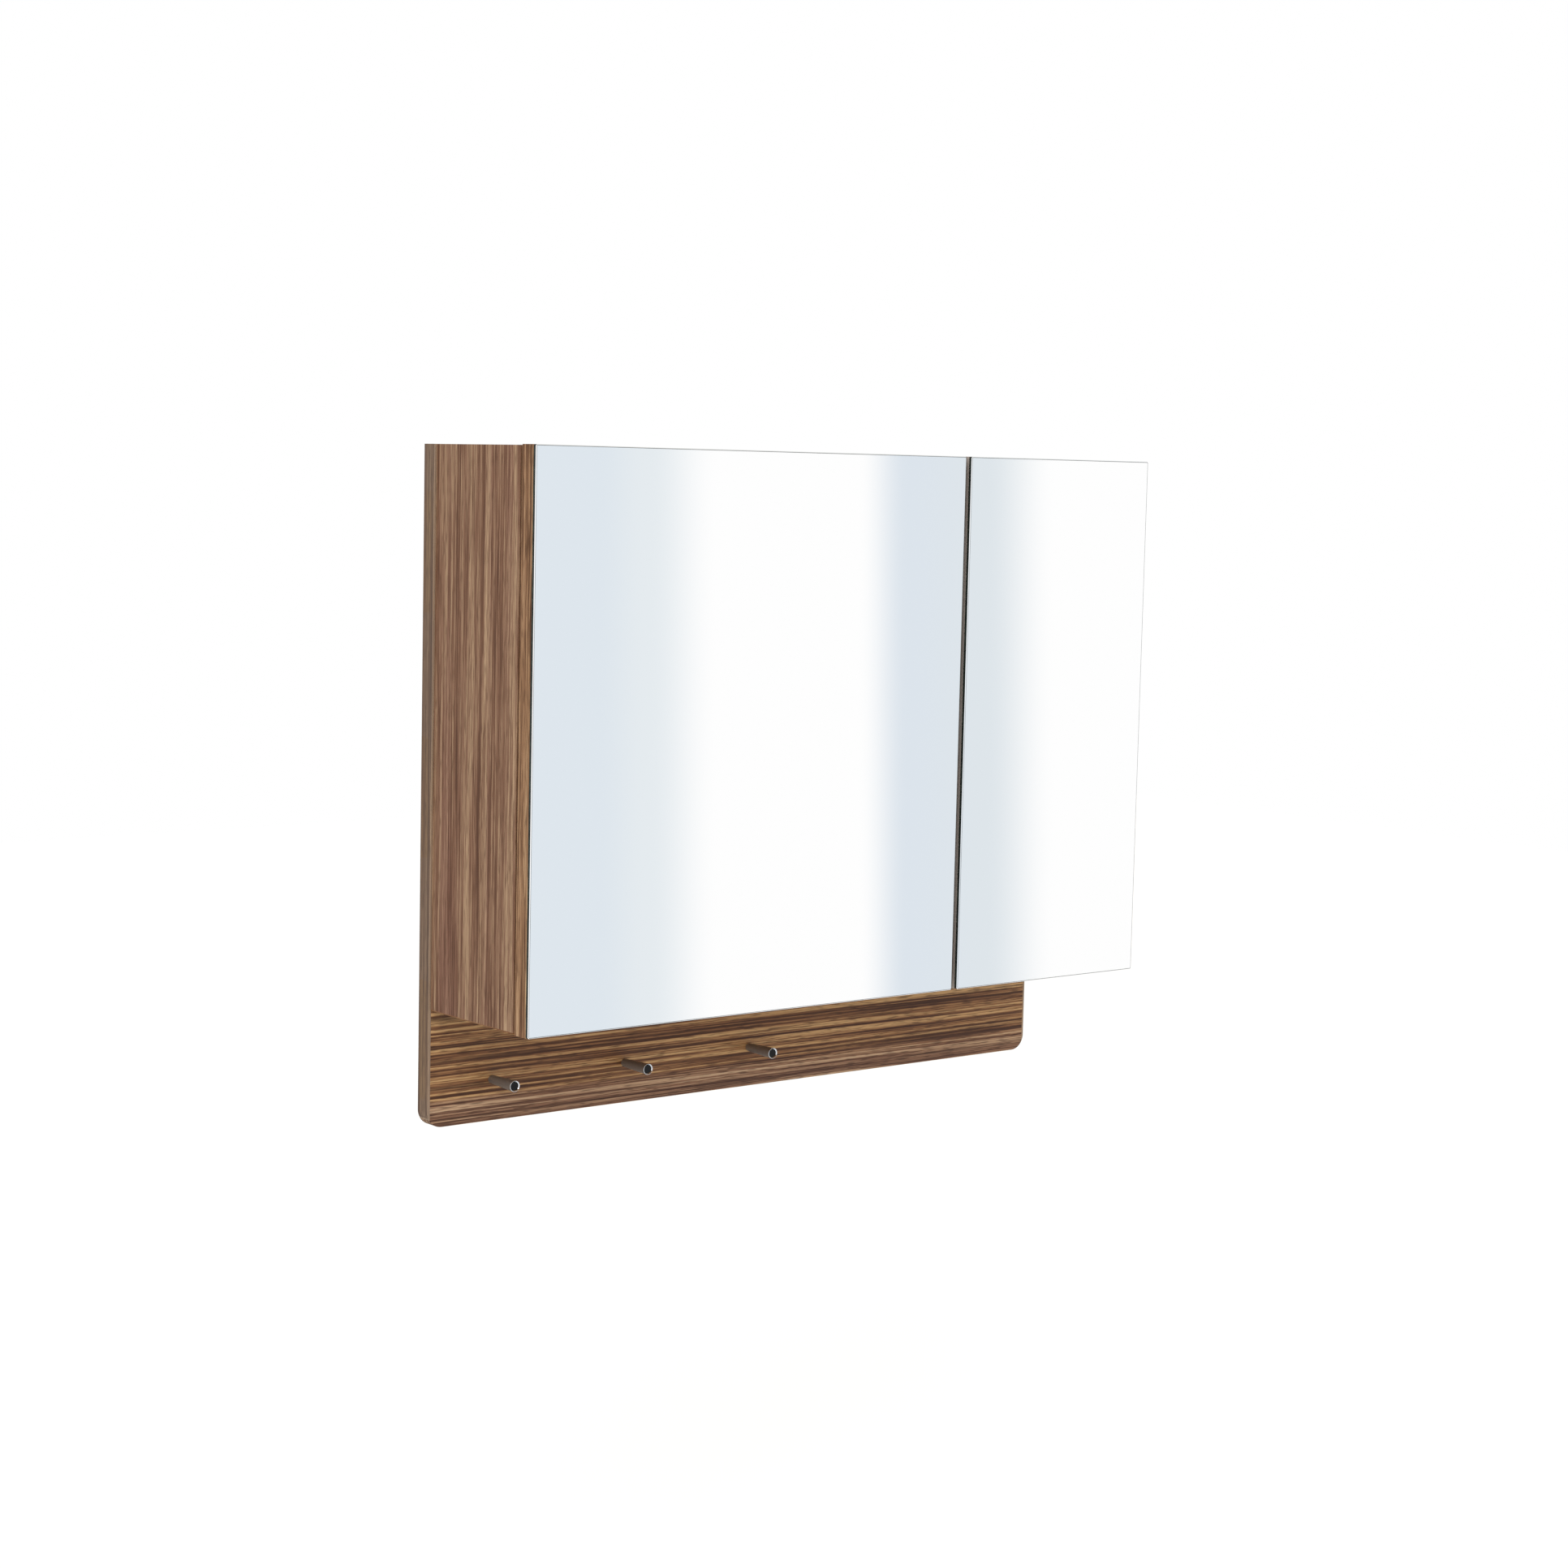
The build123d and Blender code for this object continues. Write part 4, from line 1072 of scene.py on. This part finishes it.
@dataclass
class Studio:
    """Camera, soft light, pale floor and what the mirrors show."""

    place: Triple = (-1.95970, -2.52664, 0.03653)
    azimuth: float = 38.5608
    pitch: float = 5.8081
    roll: float = 1.2933
    lens: float = 69.4703
    sensor: float = 36.0
    floor_z: float = -1.25
    floor_half: float = 7.0
    floor_colour: str = "E6E5E2"
    floor_lift: float = 0.25
    lamp_watts: float = 40.0
    lamp_size: Range = (2.4, 1.8)
    lamp_place: Triple = (-2.5, -2.8, 2.5)
    lamp_target: Triple = (0.0, -0.1, -0.3)
    band_count: int = 15
    band_lean: float = 4.0
    band_from: Range = (-0.6, 0.8)
    band_colour: str = "DFE7EE"
    roof_from: Range = (0.45, 0.85)
    roof_colour: str = "DCDCDA"
    wall_from: Range = (0.0, 0.45)
    wall_colour: str = "A8A5A1"
    card_distance: float = 6.0
    card_half: Range = (2.4, 1.6)
    card_fade_x: Range = (1.3, 2.3)
    card_fade_y: Range = (0.8, 1.5)
    card_stops: tuple[tuple[float, str], ...] = (
        (0.040, WHITE), (0.190, "DFE7EE"), (0.314, "DFE7EE"), (0.366, "E6ECF0"), (0.435, WHITE),
        (0.574, WHITE), (0.622, "DDE5ED"), (0.700, "DFE6EB"), (0.769, WHITE))

    def axes(self) -> tuple[Vector, Vector, Vector]:
        """Work out how the camera is turned.

        Returns:
            Its right, up and forward directions.
        """
        turn, dip, roll = (math.radians(a) for a in (self.azimuth, self.pitch, self.roll))
        forward = Vector((math.sin(turn) * math.cos(dip), math.cos(turn) * math.cos(dip), -math.sin(dip)))
        level = Vector((math.cos(turn), -math.sin(turn), 0.0))
        upright = level.cross(forward)
        right = level * math.cos(roll) + upright * math.sin(roll)
        up = upright * math.cos(roll) - level * math.sin(roll)
        return right, up, forward

    def set_camera(self) -> None:
        """Stand the camera where the photograph was taken from."""
        right, up, forward = self.axes()
        data = bpy.data.cameras.new("camera")
        data.sensor_width = self.sensor
        data.lens = self.lens
        camera = linked("camera", data)
        matrix = Matrix((right, up, -forward)).transposed().to_4x4()
        matrix.translation = Vector(self.place)
        camera.matrix_world = matrix
        bpy.context.scene.camera = camera

    def polished_view(self, tree: NodeTree) -> Source:
        """Draw the surroundings that polished pieces show.

        Args:
            tree: the world's node tree.

        Returns:
            White with soft pale bands, a little darker overhead and on the wall's side.
        """
        spot = add_node(tree, "TexCoord").outputs
        way = add_node(tree, "SeparateXYZ", {0: spot["Generated"]}).outputs
        turn = add_node(tree, "Math", {0: way["X"], 1: way["Y"]}, operation="ARCTAN2")
        lean = add_node(tree, "Math", {0: way["Z"], 1: self.band_lean}, operation="MULTIPLY")
        phase = add_node(tree, "Math", {0: turn, 1: self.band_count, 2: lean}, operation="MULTIPLY_ADD")
        wave = add_node(tree, "Math", {0: phase}, operation="SINE")
        seen = linear(WHITE)
        for value, span, code in ((wave, self.band_from, self.band_colour),
                                  (way["Z"], self.roof_from, self.roof_colour),
                                  (way["Y"], self.wall_from, self.wall_colour)):
            share = add_node(tree, "MapRange", {0: value, FROM: span}, **SMOOTH)
            seen = add_node(tree, "Mix", {"Factor": share, 6: seen, 7: linear(code)}, **RGBA)
        return seen

    def set_world(self) -> None:
        """Surround the cabinet with even white light, and let polished pieces see soft bands in it."""
        world = bpy.data.worlds.new("studio_white")
        bpy.context.scene.world = world
        tree = bare_tree(world)
        ray = add_node(tree, "LightPath").outputs
        # A ray through glass counts as glossy too, but is to see the plain white that the camera sees
        bounced = add_node(tree, "Math", {0: ray["Is Glossy Ray"], 1: ray["Is Transmission Ray"]},
                           operation="SUBTRACT", use_clamp=True)
        plain = add_node(tree, "Background", {"Color": linear(WHITE)})
        mirrored = add_node(tree, "Background", {"Color": self.polished_view(tree)})
        whole = add_node(tree, "MixShader", {0: bounced, 1: plain, 2: mirrored})
        add_node(tree, "OutputWorld", {"Surface": whole})

    def set_floor(self) -> None:
        """Lay a pale floor that keeps the cabinet's soft shadow and runs into the white behind it."""
        material = bpy.data.materials.new("pale_studio_floor")
        tree = bare_tree(material)
        ray = add_node(tree, "LightPath").outputs
        seen = ray["Is Camera Ray"]
        for kind in ("Is Glossy Ray", "Is Transmission Ray"):
            seen = add_node(tree, "Math", {0: seen, 1: ray[kind]}, operation="MAXIMUM")
        lift = add_node(tree, "Math", {0: seen, 1: self.floor_lift}, operation="MULTIPLY")
        matt = add_node(tree, "BsdfDiffuse", {"Color": linear(self.floor_colour)})
        glow = add_node(tree, "Emission", {"Color": linear(WHITE), "Strength": lift})
        both = add_node(tree, "AddShader", {0: matt, 1: glow})
        add_node(tree, "OutputMaterial", {"Surface": both})
        floor = sheet("floor", self.floor_half, self.floor_half, self.floor_z, material)
        floor.visible_glossy = False

    def card_material(self) -> Material:
        """Paint the card white and blue-grey.

        Returns:
            A glowing material that fades out towards the card's ends, into what surrounds it.
        """
        material = bpy.data.materials.new("white_and_blue_card")
        tree = bare_tree(material)
        spot = add_node(tree, "TexCoord").outputs
        way = add_node(tree, "SeparateXYZ", {0: spot["Object"]}).outputs
        share = add_node(tree, "MapRange", {0: way["X"], FROM: (-1.0, 1.0)})
        ramp = add_node(tree, "ValToRGB", {0: share})
        ramp.color_ramp.interpolation = "EASE"
        set_stops(ramp, list(self.card_stops))
        fades = []
        for axis, span in (("X", self.card_fade_x), ("Y", self.card_fade_y)):
            far = add_node(tree, "Math", {0: way[axis]}, operation="ABSOLUTE")
            fades.append(add_node(tree, "MapRange", {0: far, FROM: span}, **SMOOTH))
        gone = add_node(tree, "Math", {0: fades[0], 1: fades[1]}, operation="MAXIMUM")
        glow = add_node(tree, "Emission", {"Color": ramp})
        clear = add_node(tree, "BsdfTransparent")
        both = add_node(tree, "MixShader", {0: gone, 1: glow, 2: clear})
        add_node(tree, "OutputMaterial", {"Surface": both})
        return material

    def set_card(self) -> None:
        """Stand up the studio card that the mirrors reflect, square to the view that they give."""
        right, up, forward = self.axes()
        plane_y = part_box("left_mirror")[0].y
        flip = Vector((1.0, -1.0, 1.0))
        eye = Vector(self.place) * flip + Vector((0.0, 2 * plane_y, 0.0))
        matrix = Matrix((right * flip, up * flip, forward * flip)).transposed().to_4x4()
        matrix.translation = eye + forward * flip * self.card_distance
        card = sheet("studio_card", *self.card_half, 0.0, self.card_material())
        card.matrix_world = matrix
        for ray in ("camera", "diffuse", "shadow", "transmission"):
            setattr(card, f"visible_{ray}", False)

    def set_lights(self) -> None:
        """Hang one large soft lamp to the front and left, and let the white surroundings fill the rest."""
        data = bpy.data.lights.new("soft_key", "AREA")
        data.shape = "RECTANGLE"
        data.size, data.size_y = self.lamp_size
        data.energy = self.lamp_watts
        lamp = linked("soft_key", data)
        lamp.location = self.lamp_place
        aim = Vector(self.lamp_target) - Vector(self.lamp_place)
        lamp.rotation_euler = aim.to_track_quat("-Z", "Y").to_euler()

    def build(self) -> None:
        """Set up everything that isn't the cabinet."""
        bpy.context.scene.view_settings.view_transform = "Standard"
        self.set_camera()
        self.set_world()
        self.set_floor()
        self.set_card()
        self.set_lights()
        log.info("studio: camera at %s", self.place)


def main() -> None:
    """Build the studio and dress the cabinet, sub-assembly by sub-assembly."""
    logging.basicConfig(level=logging.INFO, format="%(name)s: %(message)s")
    Studio().build()
    palette = Palette()
    Carcass(palette).dress()
    Shelving(palette).dress()
    for side, veneer in (("left", Finish.LEFT_DOOR), ("right", Finish.RIGHT_DOOR)):
        door = MirrorDoor(palette, side, veneer)
        door.dress()
        door.build_glass()
    for place in ("left", "middle", "right"):
        CoatPeg(palette, place).build()
    for node, body, run in SCREW_ROWS:
        ScrewRow(palette, node, body, run).build()


if __name__ == "__main__":
    main()
